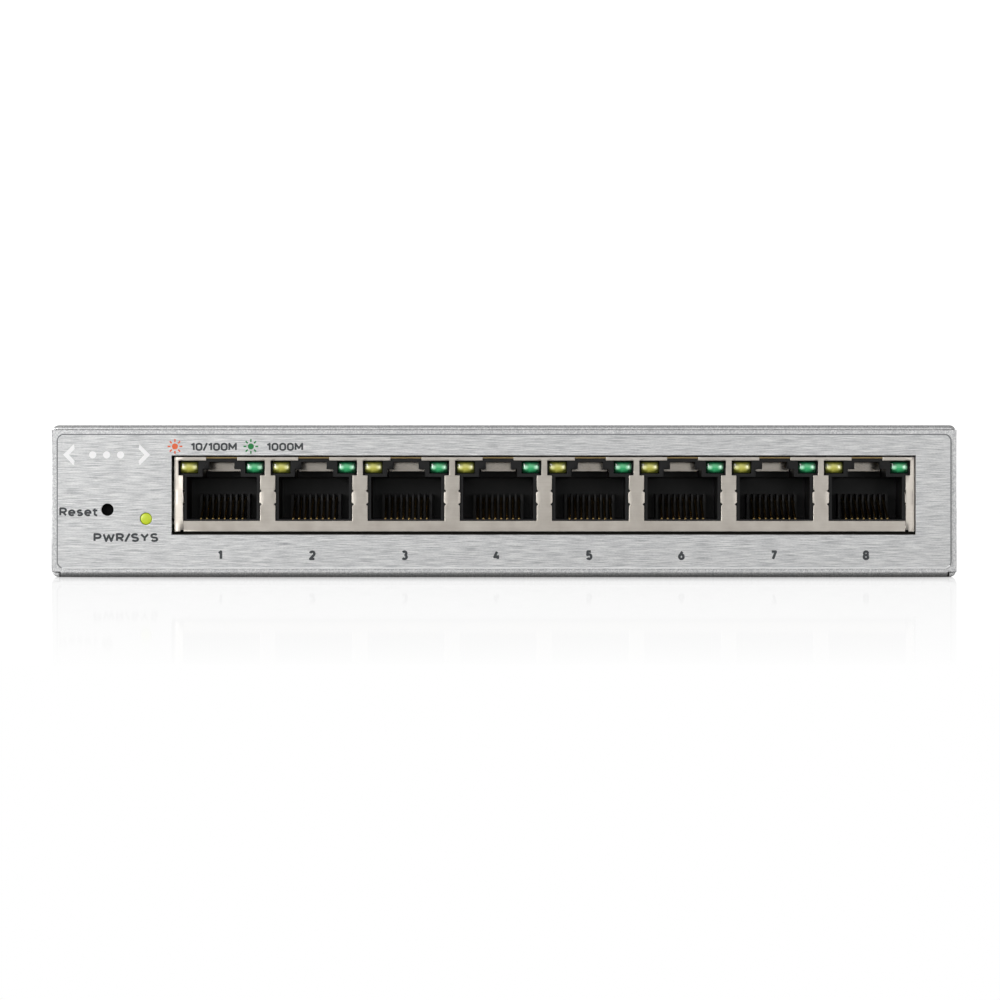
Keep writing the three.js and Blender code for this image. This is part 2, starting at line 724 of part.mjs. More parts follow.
// One port's moulding, about the port's middle, with its front just behind the shield.
function portHousing() {
  const half = PORT_PITCH / 2 - SLIP / 2;
  const front = PLATE + SEAT;
  const back = JACK_DEEP - PLATE - SEAT;
  const top = JACK_HIGH - PLATE - SEAT;
  const room = front + LATCH_WALL;
  const block = box(-half, half, front, back, SEAT + JACK_FOOT, top);
  const centred = (wide, ...rest) => box(-wide / 2, wide / 2, ...rest);
  const plug = centred(PLUG_WIDE, front - PAST, front + PLUG_DEEP, PLUG_LOW, PLUG_HIGH);
  const latchLow = PLUG_HIGH - PAST;
  const latchBack = front + LATCH_DEEP;
  const step = centred(LATCH_STEP_WIDE, front - PAST, latchBack, latchLow, LATCH_STEP_HIGH);
  const slot = centred(LATCH_SLOT_WIDE, front - PAST, room + PAST, latchLow, LATCH_SLOT_HIGH);
  const latchRoom = centred(LATCH_STEP_WIDE, room, latchBack, latchLow, top + PAST);
  const lamps = SIDES.map((side) =>
    box(
      side * LAMP_X - LAMP_WIDE / 2 - LAMP_GAP,
      side * LAMP_X + LAMP_WIDE / 2 + LAMP_GAP,
      front - PAST,
      front + LAMP_SET_BACK + LAMP_LONG + LAMP_GAP,
      LAMP_Z - LAMP_HIGH / 2 - LAMP_GAP,
      LAMP_Z + LAMP_HIGH / 2 + LAMP_GAP,
    ),
  );
  const combHalf = (CONTACTS * CONTACT_PITCH) / 2 + COMB_SIDE;
  const trough = centred(2 * combHalf, front + SEAT, COMB_FRONT, TROUGH_LOW, PLUG_LOW + PAST);
  const comb = centred(2 * combHalf, COMB_FRONT, back - PAST, SEAT + JACK_FOOT, COMB_HIGH);
  const slots = Array.from({ length: CONTACTS }, (_, i) =>
    box(
      contactX(i) - COMB_SLOT_WIDE / 2,
      contactX(i) + COMB_SLOT_WIDE / 2,
      COMB_FRONT - PAST,
      front + PLUG_DEEP,
      PLUG_LOW,
      COMB_HIGH + PAST,
    ),
  );
  const corner = HOUSING_CORNER;
  const corners = SIDES.flatMap((side) =>
    [front, back].map((y) =>
      sideBox(side, half - corner, half + PAST, y - corner, y + corner, -PAST, JACK_HIGH),
    ),
  );
  const hollow = without(block, [plug, step, slot, latchRoom, trough, ...lamps, ...corners]);
  return hollow.add(comb).subtract(joined(slots));
}

// Eight contact wires on the bar they bend about, which lies on this solid's X axis.
function contactComb() {
  const long = Math.hypot(WIRE_END_Y - ROOT_Y, WIRE_END_Z - ROOT_Z);
  const rise = Math.atan2(WIRE_END_Z - ROOT_Z, WIRE_END_Y - ROOT_Y);
  const halfBar = contactX(CONTACTS - 1) + WIRE_WIDE / 2;
  const bar = box(-halfBar, halfBar, -ROOT_R, ROOT_R, -ROOT_R, ROOT_R);
  const wires = Array.from({ length: CONTACTS }, (_, i) =>
    box(
      contactX(i) - WIRE_WIDE / 2,
      contactX(i) + WIRE_WIDE / 2,
      0,
      long,
      -WIRE_THICK / 2,
      WIRE_THICK / 2,
    ).rotate([THREE.MathUtils.radToDeg(rise), 0, 0]),
  );
  return joined([bar, ...wires]);
}

// A port lamp: a clear-nosed rectangular lamp, its front face at y = 0.
const portLamp = () =>
  box(-LAMP_WIDE / 2, LAMP_WIDE / 2, 0, LAMP_LONG, -LAMP_HIGH / 2, LAMP_HIGH / 2);

// ---------------------------------------------------------------- lamp, button and inlet

// Turned solids on these three point along Y, from their own origin.
const alongY = (made) => made.rotate([-90, 0, 0]);

// The nose comes flush with the label; the body sits in the holder. Origin at the nose's face.
function statusLamp() {
  const nose = HOLDER_BACK + SEAT;
  return alongY(
    turned([
      [0, 0],
      [STATUS_R, 0],
      [STATUS_R, nose],
      [STATUS_BODY_R, nose],
      [STATUS_BODY_R, nose + STATUS_LONG],
      [0, nose + STATUS_LONG],
    ]),
  );
}

function statusHolder() {
  const high = STATUS_Z - BOARD_TOP + STATUS_BODY_R + HOLDER_ABOVE;
  const block = box(-HOLDER_WIDE / 2, HOLDER_WIDE / 2, HOLDER_BACK, HOLDER_BACK + HOLDER_DEEP, SEAT, high);
  const deep = HOLDER_BACK + STATUS_LONG + SLIP + 2 * SEAT;
  const bore = alongY(rod(STATUS_BODY_R + LAMP_GAP, 0, deep));
  return block.subtract(bore.translate([0, 0, STATUS_Z - BOARD_TOP]));
}

// The reset switch's case. Origin on the board, below the button's axis, at the label's face.
function resetSwitch() {
  const half = RESET_BODY_WIDE / 2;
  const block = box(
    -half,
    half,
    RESET_BODY_BACK,
    RESET_BODY_BACK + RESET_BODY_DEEP,
    SEAT,
    RESET_BODY_HIGH,
  );
  const deep = RESET_BODY_BACK + BUTTON_IN + BUTTON_TRAVEL + SLIP;
  const bore = alongY(rod(BUTTON_R + BUTTON_PLAY, 0, deep)).translate([0, 0, RESET_Z - BOARD_TOP]);
  return block.subtract(bore);
}

// The button, from its pressed face at y = 0.
const resetButton = () => {
  const long = BUTTON_OUT + BUTTON_IN;
  const chamfer = BUTTON_CHAMFER;
  const profile = [[0, 0], [BUTTON_R - chamfer, 0], [BUTTON_R, chamfer], [BUTTON_R, long], [0, long]];
  return alongY(turned(profile));
};

// The inlet's moulding: a block on the board and a round collar through the wall.
// Origin on the bore's axis, at the collar's face, with +Y out of the case.
function inletBody() {
  const half = INLET_WIDE / 2;
  const setBack = SHEET + SLIP;
  const block = box(
    -half,
    half,
    -setBack - INLET_DEEP,
    -setBack,
    SEAT - INLET_AXIS,
    INLET_HIGH - INLET_AXIS,
  );
  const collar = alongY(rod(INLET_COLLAR_R, -setBack - PAST, 0, LARGE_ROUND));
  const bore = alongY(rod(INLET_BORE_R, -INLET_BORE_DEEP, PAST, LARGE_ROUND));
  const leafSlot = box(
    -INLET_SLOT_WIDE / 2,
    INLET_SLOT_WIDE / 2,
    -INLET_BORE_DEEP - INLET_SLOT_MORE,
    -setBack - INLET_SLOT_MORE,
    -INLET_BORE_R - INLET_SLOT_MORE,
    0,
  );
  const pinSeat = alongY(rod(INLET_PIN_R + SEAT, -setBack - INLET_DEEP - PAST, 0));
  return without(joined([block, collar]), [bore, leafSlot, pinSeat]);
}

function inletPin() {
  const start = -INLET_BORE_DEEP - INLET_PIN_ROOT;
  const end = -INLET_BORE_DEEP + INLET_PIN_LONG;
  return alongY(
    turned(
      [
        [0, start],
        [INLET_PIN_R, start],
        [INLET_PIN_R, end - INLET_PIN_TAPER],
        [INLET_PIN_R - INLET_PIN_TAPER, end],
        [0, end],
      ],
      SMALL_ROUND,
    ),
  );
}

// The inlet's sprung leaf: a flat arm with a bump that pokes into the bore from below.
// Origin on its hinge line, at its deep end.
function inletLeaf() {
  const t = INLET_LEAF_THICK / 2;
  const rise = LEAF_DROP + INLET_LEAF_POKE;
  const [start, top, topEnd, end] = LEAF_BUMP;
  const shape = new THREE.Shape(
    [
      [-t, -t],
      [LEAF_LONG, -t],
      [LEAF_LONG, t],
      [end, t],
      [topEnd, rise],
      [top, rise],
      [start, t],
      [-t, t],
    ].map(([y, z]) => new THREE.Vector2(y, z)),
  );
  return prismX(shape, -INLET_LEAF_WIDE / 2, INLET_LEAF_WIDE / 2);
}

// ---------------------------------------------------------------- board

function mainBoard() {
  const blank = box(-BOARD_X, BOARD_X, BOARD_Y0, BOARD_Y1, BOARD_UNDER, BOARD_TOP);
  const hole = rod(SCREW_HOLE_R, BOARD_UNDER - PAST, BOARD_TOP + PAST, SMALL_ROUND);
  return without(
    blank,
    POSTS.map(([x, y]) => hole.translate([x, y, 0])),
  );
}

function heatSink() {
  const half = SINK_SIDE / 2;
  const base = box(-half, half, -half, half, 0, SINK_BASE);
  const step = (SINK_SIDE - SINK_FIN_THICK) / (SINK_FINS - 1);
  const fins = Array.from({ length: SINK_FINS }, (_, i) =>
    box(-half + i * step, -half + i * step + SINK_FIN_THICK, -half, half, SINK_BASE / 2, SINK_HIGH),
  );
  return joined([base, ...fins]);
}

// The can has a rolled groove near its foot.
const capacitor = () =>
  turned([
    [0, 0],
    [CAN_R, 0],
    [CAN_R, CAN_GROOVE - CAN_EDGE],
    [CAN_R - CAN_EDGE, CAN_GROOVE],
    [CAN_R, CAN_GROOVE + CAN_EDGE],
    [CAN_R, CAN_HIGH - CAN_EDGE],
    [CAN_R - CAN_EDGE, CAN_HIGH],
    [0, CAN_HIGH],
  ]);

// ---------------------------------------------------------------- the assembly

const look = (color, roughness, metalness = 0) =>
  new THREE.MeshStandardMaterial({ color, roughness, metalness });
const LOOKS = {
  paint: look(0xc9cbcc, 0.5, 0.4),
  brushed: look(0xc4c5c6, 0.35, 0.8),
  plating: look(0xc8c0b6, 0.3, 0.9),
  black: look(0x161616, 0.5),
  gold: look(0xd9b25c, 0.3, 1),
  yellow: look(0xb9b84c, 0.2),
  green: look(0x3fb073, 0.2),
  lime: look(0xcbdc33, 0.3),
  board: look(0x1d5a34, 0.5),
  epoxy: look(0x1c1c1e, 0.6),
  steel: look(0xb8b8b8, 0.3, 0.9),
  sink: look(0x2a2c2e, 0.5, 0.6),
  sleeve: look(0x20242c, 0.35),
};

const device = new THREE.Group();

// Adds one solid, or a shared geometry, as a named mesh of a group.
function add(parent, name, shape, material, position = [0, 0, 0], turn = [0, 0, 0]) {
  const geometry = shape.isBufferGeometry ? shape : geometryOf(shape);
  const mesh = new THREE.Mesh(geometry, material);
  mesh.name = name;
  mesh.position.set(...position);
  mesh.rotation.set(...turn);
  parent.add(mesh);
  return mesh;
}

const place = (parent, position) => {
  const group = new THREE.Group();
  group.position.set(...position);
  parent.add(group);
  return group;
};

// Case
add(device, "bottom_chassis", bottomChassis(), LOOKS.paint);
add(device, "top_cover", topCover(), LOOKS.paint);
add(device, "front_label", frontLabel(), LOOKS.brushed);
const flatScrewShape = geometryOf(flatScrew());
COVER_SCREWS.forEach(([side, y], i) => {
  const at = [side * (SIDE - SUNK), y, COVER_SCREW_Z];
  add(device, `cover_screw_${i + 1}`, flatScrewShape, LOOKS.steel, at, [0, (side * Math.PI) / 2, 0]);
});

// Board and its screws
add(device, "main_board", mainBoard(), LOOKS.board);
const panScrewShape = geometryOf(panScrew());
POSTS.forEach(([x, y], i) => {
  add(device, `board_screw_${i + 1}`, panScrewShape, LOOKS.steel, [x, y, BOARD_TOP + SEAT]);
});

// Row of jacks
const jacks = place(device, [JACKS_X, JACK_FRONT, BOARD_TOP]);
add(jacks, "jack_front_shield", frontShield(), LOOKS.plating);
add(jacks, "jack_rear_shield", rearShield(), LOOKS.plating);
const housingShape = geometryOf(portHousing());
const combShape = geometryOf(contactComb());
const lampShape = geometryOf(portLamp());
for (let i = 0; i < PORTS; i++) {
  const port = place(jacks, [portInRow(i), 0, 0]);
  const name = `port_${i + 1}`;
  const lampY = PLATE + SEAT + LAMP_SET_BACK;
  add(port, `${name}_housing`, housingShape, LOOKS.black);
  add(port, `${name}_contacts`, combShape, LOOKS.gold, [0, ROOT_Y, ROOT_Z]);
  add(port, `${name}_left_lamp`, lampShape, LOOKS.yellow, [-LAMP_X, lampY, LAMP_Z]);
  add(port, `${name}_right_lamp`, lampShape, LOOKS.green, [LAMP_X, lampY, LAMP_Z]);
}

// Status lamp and reset switch
add(device, "status_lamp", statusLamp(), LOOKS.lime, [STATUS_X, FACE, STATUS_Z]);
add(device, "status_lamp_holder", statusHolder(), LOOKS.black, [STATUS_X, FACE, BOARD_TOP]);
add(device, "reset_switch", resetSwitch(), LOOKS.black, [RESET_X, FACE, BOARD_TOP]);
const buttonFace = FACE + RESET_BODY_BACK - BUTTON_OUT;
add(device, "reset_button", resetButton(), LOOKS.black, [RESET_X, buttonFace, RESET_Z]);

// Power inlet
const inlet = place(device, [INLET_X, WALL_BACK, BOARD_TOP + INLET_AXIS]);
add(inlet, "power_inlet", inletBody(), LOOKS.black);
add(inlet, "power_inlet_pin", inletPin(), LOOKS.steel);
const leafRoot = [0, -INLET_BORE_DEEP - LEAF_BEHIND, -INLET_BORE_R - LEAF_DROP];
add(inlet, "power_inlet_leaf", inletLeaf(), LOOKS.steel, leafRoot);

// Components on the board
const modulePitch = (PORTS / MODULES) * PORT_PITCH;
for (let i = 0; i < MODULES; i++) {
  const x = JACKS_X + (i - (MODULES - 1) / 2) * modulePitch;
  const shape = box(-MODULE_WIDE / 2, MODULE_WIDE / 2, 0, MODULE_DEEP, SEAT, MODULE_HIGH);
  add(device, `transformer_${i + 1}`, shape, LOOKS.epoxy, [x, MODULES_Y, BOARD_TOP]);
}
const chipHalf = CHIP_SIDE / 2;
const chip = box(-chipHalf, chipHalf, -chipHalf, chipHalf, SEAT, CHIP_HIGH);
add(device, "switch_chip", chip, LOOKS.epoxy, [-CHIP_LEFT, CHIP_Y, BOARD_TOP]);
add(device, "heat_sink", heatSink(), LOOKS.sink, [-CHIP_LEFT, CHIP_Y, BOARD_TOP + CHIP_HIGH + SEAT]);
const canAt = [INLET_X - CAN_BESIDE, BOARD_Y1 - CAN_IN, BOARD_TOP + SEAT];
add(device, "capacitor", capacitor(), LOOKS.sleeve, canAt);

export default device;
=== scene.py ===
"""The looks of a desktop Ethernet switch, built round its CAD frame.

Shapes are worked out in millimetres and become metres when a mesh is made.
+X runs along the row of jacks, -Y comes out of them, and +Z is up.
"""

import math

import bpy
import numpy as np
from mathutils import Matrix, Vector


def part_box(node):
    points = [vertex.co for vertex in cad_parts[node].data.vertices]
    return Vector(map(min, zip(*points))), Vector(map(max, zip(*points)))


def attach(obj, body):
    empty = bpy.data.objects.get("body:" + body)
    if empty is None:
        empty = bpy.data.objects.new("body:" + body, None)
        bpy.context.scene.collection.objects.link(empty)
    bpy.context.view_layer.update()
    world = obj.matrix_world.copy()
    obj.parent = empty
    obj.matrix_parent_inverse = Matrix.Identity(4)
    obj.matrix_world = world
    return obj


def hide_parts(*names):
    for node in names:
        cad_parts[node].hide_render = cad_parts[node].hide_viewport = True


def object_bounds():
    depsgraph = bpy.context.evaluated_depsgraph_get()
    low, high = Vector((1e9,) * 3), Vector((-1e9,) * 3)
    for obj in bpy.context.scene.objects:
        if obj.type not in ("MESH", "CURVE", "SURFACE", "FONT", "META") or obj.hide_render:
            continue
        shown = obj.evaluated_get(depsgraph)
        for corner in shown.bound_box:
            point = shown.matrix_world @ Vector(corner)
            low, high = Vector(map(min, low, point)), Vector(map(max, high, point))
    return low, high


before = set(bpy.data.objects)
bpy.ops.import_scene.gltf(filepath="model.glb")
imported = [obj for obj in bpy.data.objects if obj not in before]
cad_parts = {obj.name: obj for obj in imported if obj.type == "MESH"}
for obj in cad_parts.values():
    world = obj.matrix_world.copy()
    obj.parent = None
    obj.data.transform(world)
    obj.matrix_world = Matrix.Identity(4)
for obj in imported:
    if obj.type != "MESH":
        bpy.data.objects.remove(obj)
cad_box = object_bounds()

MM = 0.001
PORTS = range(1, 9)
SIDES = (-1, 1)


# ------------------------------------------------------------------ places from the frame


def corners_of(node):
    """A CAD node's lowest and highest corners, in millimetres."""
    low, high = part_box(node)
    return np.array(low) / MM, np.array(high) / MM


def middle_of(node):
    """The middle of a CAD node's box, in millimetres."""
    low, high = corners_of(node)
    return (low + high) / 2


LOW, HIGH = (np.array(corner) / MM for corner in cad_box)
SIDE = HIGH[0]
HEIGHT = HIGH[2]
FACE = LOW[1]
BACK = HIGH[1]
WALL_FRONT = corners_of("bottom_chassis")[0][1]
WALL_TOP = corners_of("bottom_chassis")[1][2] + 0.03
BOARD_TOP = corners_of("main_board")[1][2]
SHIELD_LOW, SHIELD_HIGH = corners_of("jack_front_shield")
JACK_FRONT = SHIELD_LOW[1]
PORT_X = [middle_of(f"port_{i}_housing")[0] for i in PORTS]
PORT_PITCH = PORT_X[1] - PORT_X[0]
STATUS = middle_of("status_lamp")
RESET = middle_of("reset_button")
INLET = middle_of("power_inlet_pin")
POSTS = [middle_of(f"board_screw_{i}") for i in range(1, 5)]
COVER_SCREWS = [middle_of(f"cover_screw_{i}") for i in range(1, 5)]

SHEET = 0.8
FLOOR_BEND = 0.85
LIP_BEND = 0.08
LIP = 5.0
LIP_END_GAP = 2.0
COVER_BEND = 1.2
CURL = 1.2
CURL_BEND = 1.0
SLIP = 0.3
FLOOR_SIDE = SIDE - CURL - SLIP
FRONT_HOLE = 1.05
EAR_IN = 1.2
KEYHOLE_X = 50.0
# EDGE_LIGHT: the way, in X and Z, that the label rim's white painted highlight faces.
EDGE_LIGHT = (0.35, -0.94)
WINDOW_X = (SHIELD_LOW[0] - 0.44, SHIELD_HIGH[0] + 0.2)
WINDOW_Z = (BOARD_TOP - 0.58, SHIELD_HIGH[2] + 0.25)


# ------------------------------------------------------------------ sheets, folds and meshes


class Feature:
    """A round or slotted feature in a flat sheet.

    It takes the block of cells within half of its middle. Each point on the block's edge is
    pulled towards the core, a box round the middle, until it is a ring's radius away from it;
    (radius, depth) rings run from the outside in, and the last one is the hole's edge. A radius
    may be a function of the core's points.
    """

    def __init__(self, middle, half, rings, core=(0, 0), steps=8):
        self.middle = np.array(middle, float)
        self.half = np.array(half, float)
        self.rings = rings
        self.core = np.array(core, float)
        self.steps = steps


def lines(marks, features, axis):
    """Sorted grid lines: the marks, and evenly spaced ones across each feature's block."""
    found = [np.asarray(marks, float)]
    for f in features:
        low, high = f.middle[axis] - f.half[axis], f.middle[axis] + f.half[axis]
        found.append(np.linspace(low, high, f.steps + 1))
    every = np.sort(np.concatenate(found))
    apart = np.concatenate([[True], np.diff(every) > 1e-3])
    return every[apart]


def flat_pattern(us, vs, kept, features=()):
    """Points (u, v, depth) and four-sided faces of a flat sheet on the lines us and vs.

    kept says which cells are there. A feature's cells give way to its rings.
    """
    u, v = np.meshgrid(us, vs, indexing="ij")
    points = [np.stack([u.ravel(), v.ravel(), np.zeros(u.size)], 1)]
    index = np.arange(u.size).reshape(u.shape)
    kept = kept.copy()
    faces = []
    count = u.size
    for f in features:
        low, high = f.middle - f.half, f.middle + f.half
        i0, i1 = (np.abs(us - x).argmin() for x in (low[0], high[0]))
        j0, j1 = (np.abs(vs - x).argmin() for x in (low[1], high[1]))
        kept[i0:i1, j0:j1] = False
        loop = np.concatenate(
            [index[i0:i1, j0], index[i1, j0:j1], index[i1:i0:-1, j1], index[i0, j1:j0:-1]]
        )
        edge = points[0][loop, :2] - f.middle
        core = np.clip(edge, -f.core, f.core)
        away = edge - core
        away /= np.linalg.norm(away, axis=1)[:, None]
        for radius, depth in f.rings:
            ring = count + np.arange(len(loop))
            reach = radius(core)[:, None] if callable(radius) else radius
            place = f.middle + core + reach * away
            points.append(np.column_stack([place, np.full(len(loop), depth)]))
            faces.append(np.stack([loop, np.roll(loop, -1), np.roll(ring, -1), ring], 1))
            loop = ring
            count += len(ring)
    a, b, c, d = index[:-1, :-1], index[1:, :-1], index[1:, 1:], index[:-1, 1:]
    faces.append(np.stack([a[kept], b[kept], c[kept], d[kept]], 1))
    points, faces = np.concatenate(points), np.concatenate(faces)
    used, faces = np.unique(faces, return_inverse=True)
    return points[used], faces.reshape(-1, 4)


def thickened(points, faces, place, thickness):
    """A closed wall from a flat pattern.

    place turns (u, v, depth) into x, y, z. The outer skin is at the pattern's own depth, the
    inner one a thickness deeper, and a rim of faces joins them along every open edge.
    """
    outer = place(points)
    inner = place(points + np.array([0, 0, thickness]))
    count = len(points)
    starts = faces.ravel()
    ends = np.roll(faces, -1, axis=1).ravel()
    open_edge = ~np.isin(starts * count + ends, ends * count + starts)
    a, b = starts[open_edge], ends[open_edge]
    rim = np.stack([b, a, a + count, b + count], 1)
    return np.concatenate([outer, inner]), np.concatenate([faces, faces[:, ::-1] + count, rim])


class Fold:
    """A path through corners in a plane, turning left, each corner rounded to its outer radius."""

    def __init__(self, corners, radii):
        corners = np.array(corners, float)
        steps = np.diff(corners, axis=0)
        self.along_unit = steps / np.linalg.norm(steps, axis=1)[:, None]
        lengths = np.linalg.norm(steps, axis=1)
        setback = np.concatenate([[0], radii, [0]])
        self.setback = setback
        self.runs = []
        self.marks = [0.0]
        at = 0.0
        for k, unit in enumerate(self.along_unit):
            run = lengths[k] - setback[k] - setback[k + 1]
            self.runs.append((at, at + run, corners[k] + unit * setback[k], unit))
            at += run
            self.marks.append(at)
            if k < len(radii):
                turn = radii[k] * math.pi / 2
                self.marks.extend(np.linspace(at, at + turn, 9)[1:])
                at += turn
        self.radii = radii

    def at(self, k, distance):
        """The length along the path of the point on run k at a distance from its corner."""
        return self.runs[k][0] + distance - self.setback[k]

    def place(self, s, depth):
        """The points at lengths s along the path and a depth to its left, as two coordinates."""
        made = np.zeros((len(s), 2))
        for k, (start, end, origin, unit) in enumerate(self.runs):
            here = s >= start - 1e-6
            left = np.array([-unit[1], unit[0]])
            straight = origin + (s - start)[:, None] * unit + depth[:, None] * left
            made[here] = straight[here]
            if k < len(self.radii):
                r = self.radii[k]
                centre = origin + (end - start) * unit + r * left
                angle = np.clip((s - end) / r, 0, math.pi / 2)
                curve = (
                    -np.cos(angle)[:, None] * left + np.sin(angle)[:, None] * unit
                ) * (r - depth)[:, None] + centre
                made[s > end] = curve[s > end]
        return made


def wrapped(us, vs, place, keep, thickness, features=(), adjust=None):
    """A thickened sheet, whose cells are kept where keep(x, y, z) holds at their middles."""
    mu, mv = np.meshgrid((us[1:] + us[:-1]) / 2, (vs[1:] + vs[:-1]) / 2, indexing="ij")
    middles = place(np.stack([mu.ravel(), mv.ravel(), np.zeros(mu.size)], 1))
    kept = keep(*middles.T).reshape(mu.shape)
    points, faces = flat_pattern(us, vs, kept, features)
    if adjust is not None:
        points = adjust(points)
    return thickened(points, faces, place, thickness)


def together(*meshes):
    """Several (points, faces) pairs as one, with faces as a list."""
    points, faces, count = [], [], 0
    for some_points, some_faces in meshes:
        points.append(some_points)
        faces.extend([[i + count for i in face] for face in np.asarray(some_faces).tolist()])
        count += len(some_points)
    return np.concatenate(points), faces


def ring_faces(rows, columns):
    """Four-sided faces between rows of points, each of which closes on itself."""
    i, j = np.meshgrid(np.arange(rows - 1), np.arange(columns), indexing="ij")
    k = (j + 1) % columns
    corners = [i * columns + j, i * columns + k, (i + 1) * columns + k, (i + 1) * columns + j]
    return np.stack(corners, 2).reshape(-1, 4)


def turned(profile, sides):
    """A surface of revolution about Z: each (radius, z) of the profile at evenly spaced angles."""
    profile = np.array(profile, float)
    angle = np.linspace(0, 2 * math.pi, sides, endpoint=False)
    r, z = profile[:, 0][:, None], profile[:, 1][:, None]
    points = np.stack([r * np.cos(angle), r * np.sin(angle), z + 0 * angle], 2).reshape(-1, 3)
    return points, ring_faces(len(profile), sides)


def turned_towards(points, axis, origin):
    """Points made about +Z, turned so that +Z points along axis, and moved to origin."""
    axis = np.array(axis, float)
    side = np.array([0.0, 0.0, 1.0]) if abs(axis[2]) < 0.5 else np.array([1.0, 0.0, 0.0])
    across = np.cross(side, axis)
    up = np.cross(axis, across)
    return points @ np.stack([across, up, axis]) + np.array(origin, float)


def piece(name, mesh_data, material, body="chassis", replaces=(), slot=None, bevel=0.0, uv=None):
    """A new object from points in millimetres and faces, riding on a body."""
    points, faces = mesh_data
    mesh = bpy.data.meshes.new(name)
    faces = faces.tolist() if isinstance(faces, np.ndarray) else faces
    mesh.from_pydata((np.asarray(points) * MM).tolist(), [], faces)
    mesh.polygons.foreach_set("use_smooth", np.ones(len(mesh.polygons), bool))
    if uv is not None:
        corner = np.zeros(len(mesh.loops), int)
        mesh.loops.foreach_get("vertex_index", corner)
        mesh.uv_layers.new(name="UVMap").data.foreach_set("uv", uv[corner].ravel())
    materials = material if isinstance(material, (list, tuple)) else [material]
    for each in materials:
        mesh.materials.append(each)
    made = bpy.data.objects.new(name, mesh)
    bpy.context.scene.collection.objects.link(made)
    finish_edges(made, bevel)
    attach(made, body)
    if replaces:
        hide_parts(*replaces)
    return made


def finish_edges(obj, bevel):
    """Rounds an object's sharp edges by so many millimetres and keeps its flats flat to the eye."""
    if bevel:
        rounding = obj.modifiers.new("edges", "BEVEL")
        rounding.width = bevel * MM
        rounding.segments = 2
        rounding.limit_method = "ANGLE"
        rounding.angle_limit = math.radians(35)
        rounding.use_clamp_overlap = False
    even = obj.modifiers.new("even", "WEIGHTED_NORMAL")
    even.keep_sharp = True


def keep_node(node, material, bevel=0.0):
    """Gives a CAD node its material and fine rounded edges."""
    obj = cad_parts[node]
    obj.data.materials.clear()
    obj.data.materials.append(material)
    if bevel:
        weld = obj.modifiers.new("weld", "WELD")
        weld.merge_threshold = 0.002 * MM
        obj.data.polygons.foreach_set("use_smooth", np.ones(len(obj.data.polygons), bool))
        finish_edges(obj, bevel)
    return obj


# ------------------------------------------------------------------ materials


def linear(colour):
    """An sRGB hex colour as linear red, green, blue and an alpha of 1."""
    parts = [int(colour[i : i + 2], 16) / 255 for i in (1, 3, 5)]
    return [c / 12.92 if c <= 0.04045 else ((c + 0.055) / 1.055) ** 2.4 for c in parts] + [1.0]


def add(tree, kind, inputs=None, **settings):
    """Adds a node with its settings. An input given a socket is linked, any other is set."""
    made = tree.nodes.new("ShaderNode" + kind)
    for name, value in settings.items():
        setattr(made, name, value)
    for key, value in (inputs or {}).items():
        if isinstance(value, bpy.types.NodeSocket):
            tree.links.new(value, made.inputs[key])
        else:
            made.inputs[key].default_value = value
    return made


def finish_of(name, colour, **sockets):
    """A new material: its node tree, and its shader with these sockets set."""
    made = bpy.data.materials.new(name)
    made.use_nodes = True
    shader = made.node_tree.nodes["Principled BSDF"]
    shader.inputs["Base Color"].default_value = linear(colour)
    for key, value in sockets.items():
        shader.inputs[key.replace("_", " ")].default_value = value
    return made, made.node_tree, shader


def noise(tree, place, size, detail):
    """Noise that many millimetres across: one size, or one each for X, Y and Z."""
    if isinstance(size, tuple):
        stretch = tuple(1 / (each * MM) for each in size)
        place = add(tree, "Mapping", {"Vector": place, "Scale": stretch}).outputs[0]
        scale = 1.0
    else:
        scale = 1 / (size * MM)
    return add(tree, "TexNoise", {"Vector": place, "Scale": scale, "Detail": detail}).outputs["Fac"]


def ranged(tree, value, start, end, low=0.0, high=1.0, **settings):
    """A value that runs from low to high as the given one runs from start to end."""
    inputs = {"Value": value, "From Min": start, "From Max": end, "To Min": low, "To Max": high}
    return add(tree, "MapRange", inputs, **settings).outputs[0]


def reckon(tree, operation, *values):
    """The result of one operation on up to three values."""
    return add(tree, "Math", dict(enumerate(values)), operation=operation).outputs[0]


def blend(tree, share, first, second):
    """The colour at a share of the way between two, each an sRGB hex or a socket."""
    ends = [linear(each) if isinstance(each, str) else each for each in (first, second)]
    return add(tree, "Mix", {0: share, 6: ends[0], 7: ends[1]}, data_type="RGBA").outputs[2]


def bumped(tree, height, depth, strength):
    """A normal from a height, whose full range stands for a depth in millimetres."""
    inputs = {"Height": height, "Distance": depth * MM, "Strength": strength}
    return add(tree, "Bump", inputs).outputs[0]


def drive(tree, shader, **sockets):
    """Links sockets to the shader's inputs of these names."""
    for key, socket in sockets.items():
        tree.links.new(socket, shader.inputs[key.replace("_", " ")])


def powder_coat():
    """Silver polyester powder coat on steel: a fine orange peel with aluminium flake in it.

    The peel is 0.3 mm across. The flake is half of that, so it glitters.
    """
    made, tree, shader = finish_of("silver_powder_coat", "#cfd0d0", Metallic=0.75, Roughness=0.42)
    place = add(tree, "TexCoord").outputs["Object"]
    flake = add(tree, "TexVoronoi", {"Vector": place, "Scale": 1 / (0.14 * MM)})
    spark = reckon(tree, "MULTIPLY", flake.outputs["Distance"], 0.8)
    both = reckon(tree, "ADD", noise(tree, place, 0.3, 2.0), spark)
    tone = blend(tree, ranged(tree, both, 0.6, 1.25), "#b2b3b5", "#e9e9e8")
    drive(tree, shader, Base_Color=tone, Normal=bumped(tree, both, 0.008, 0.5))
    return made


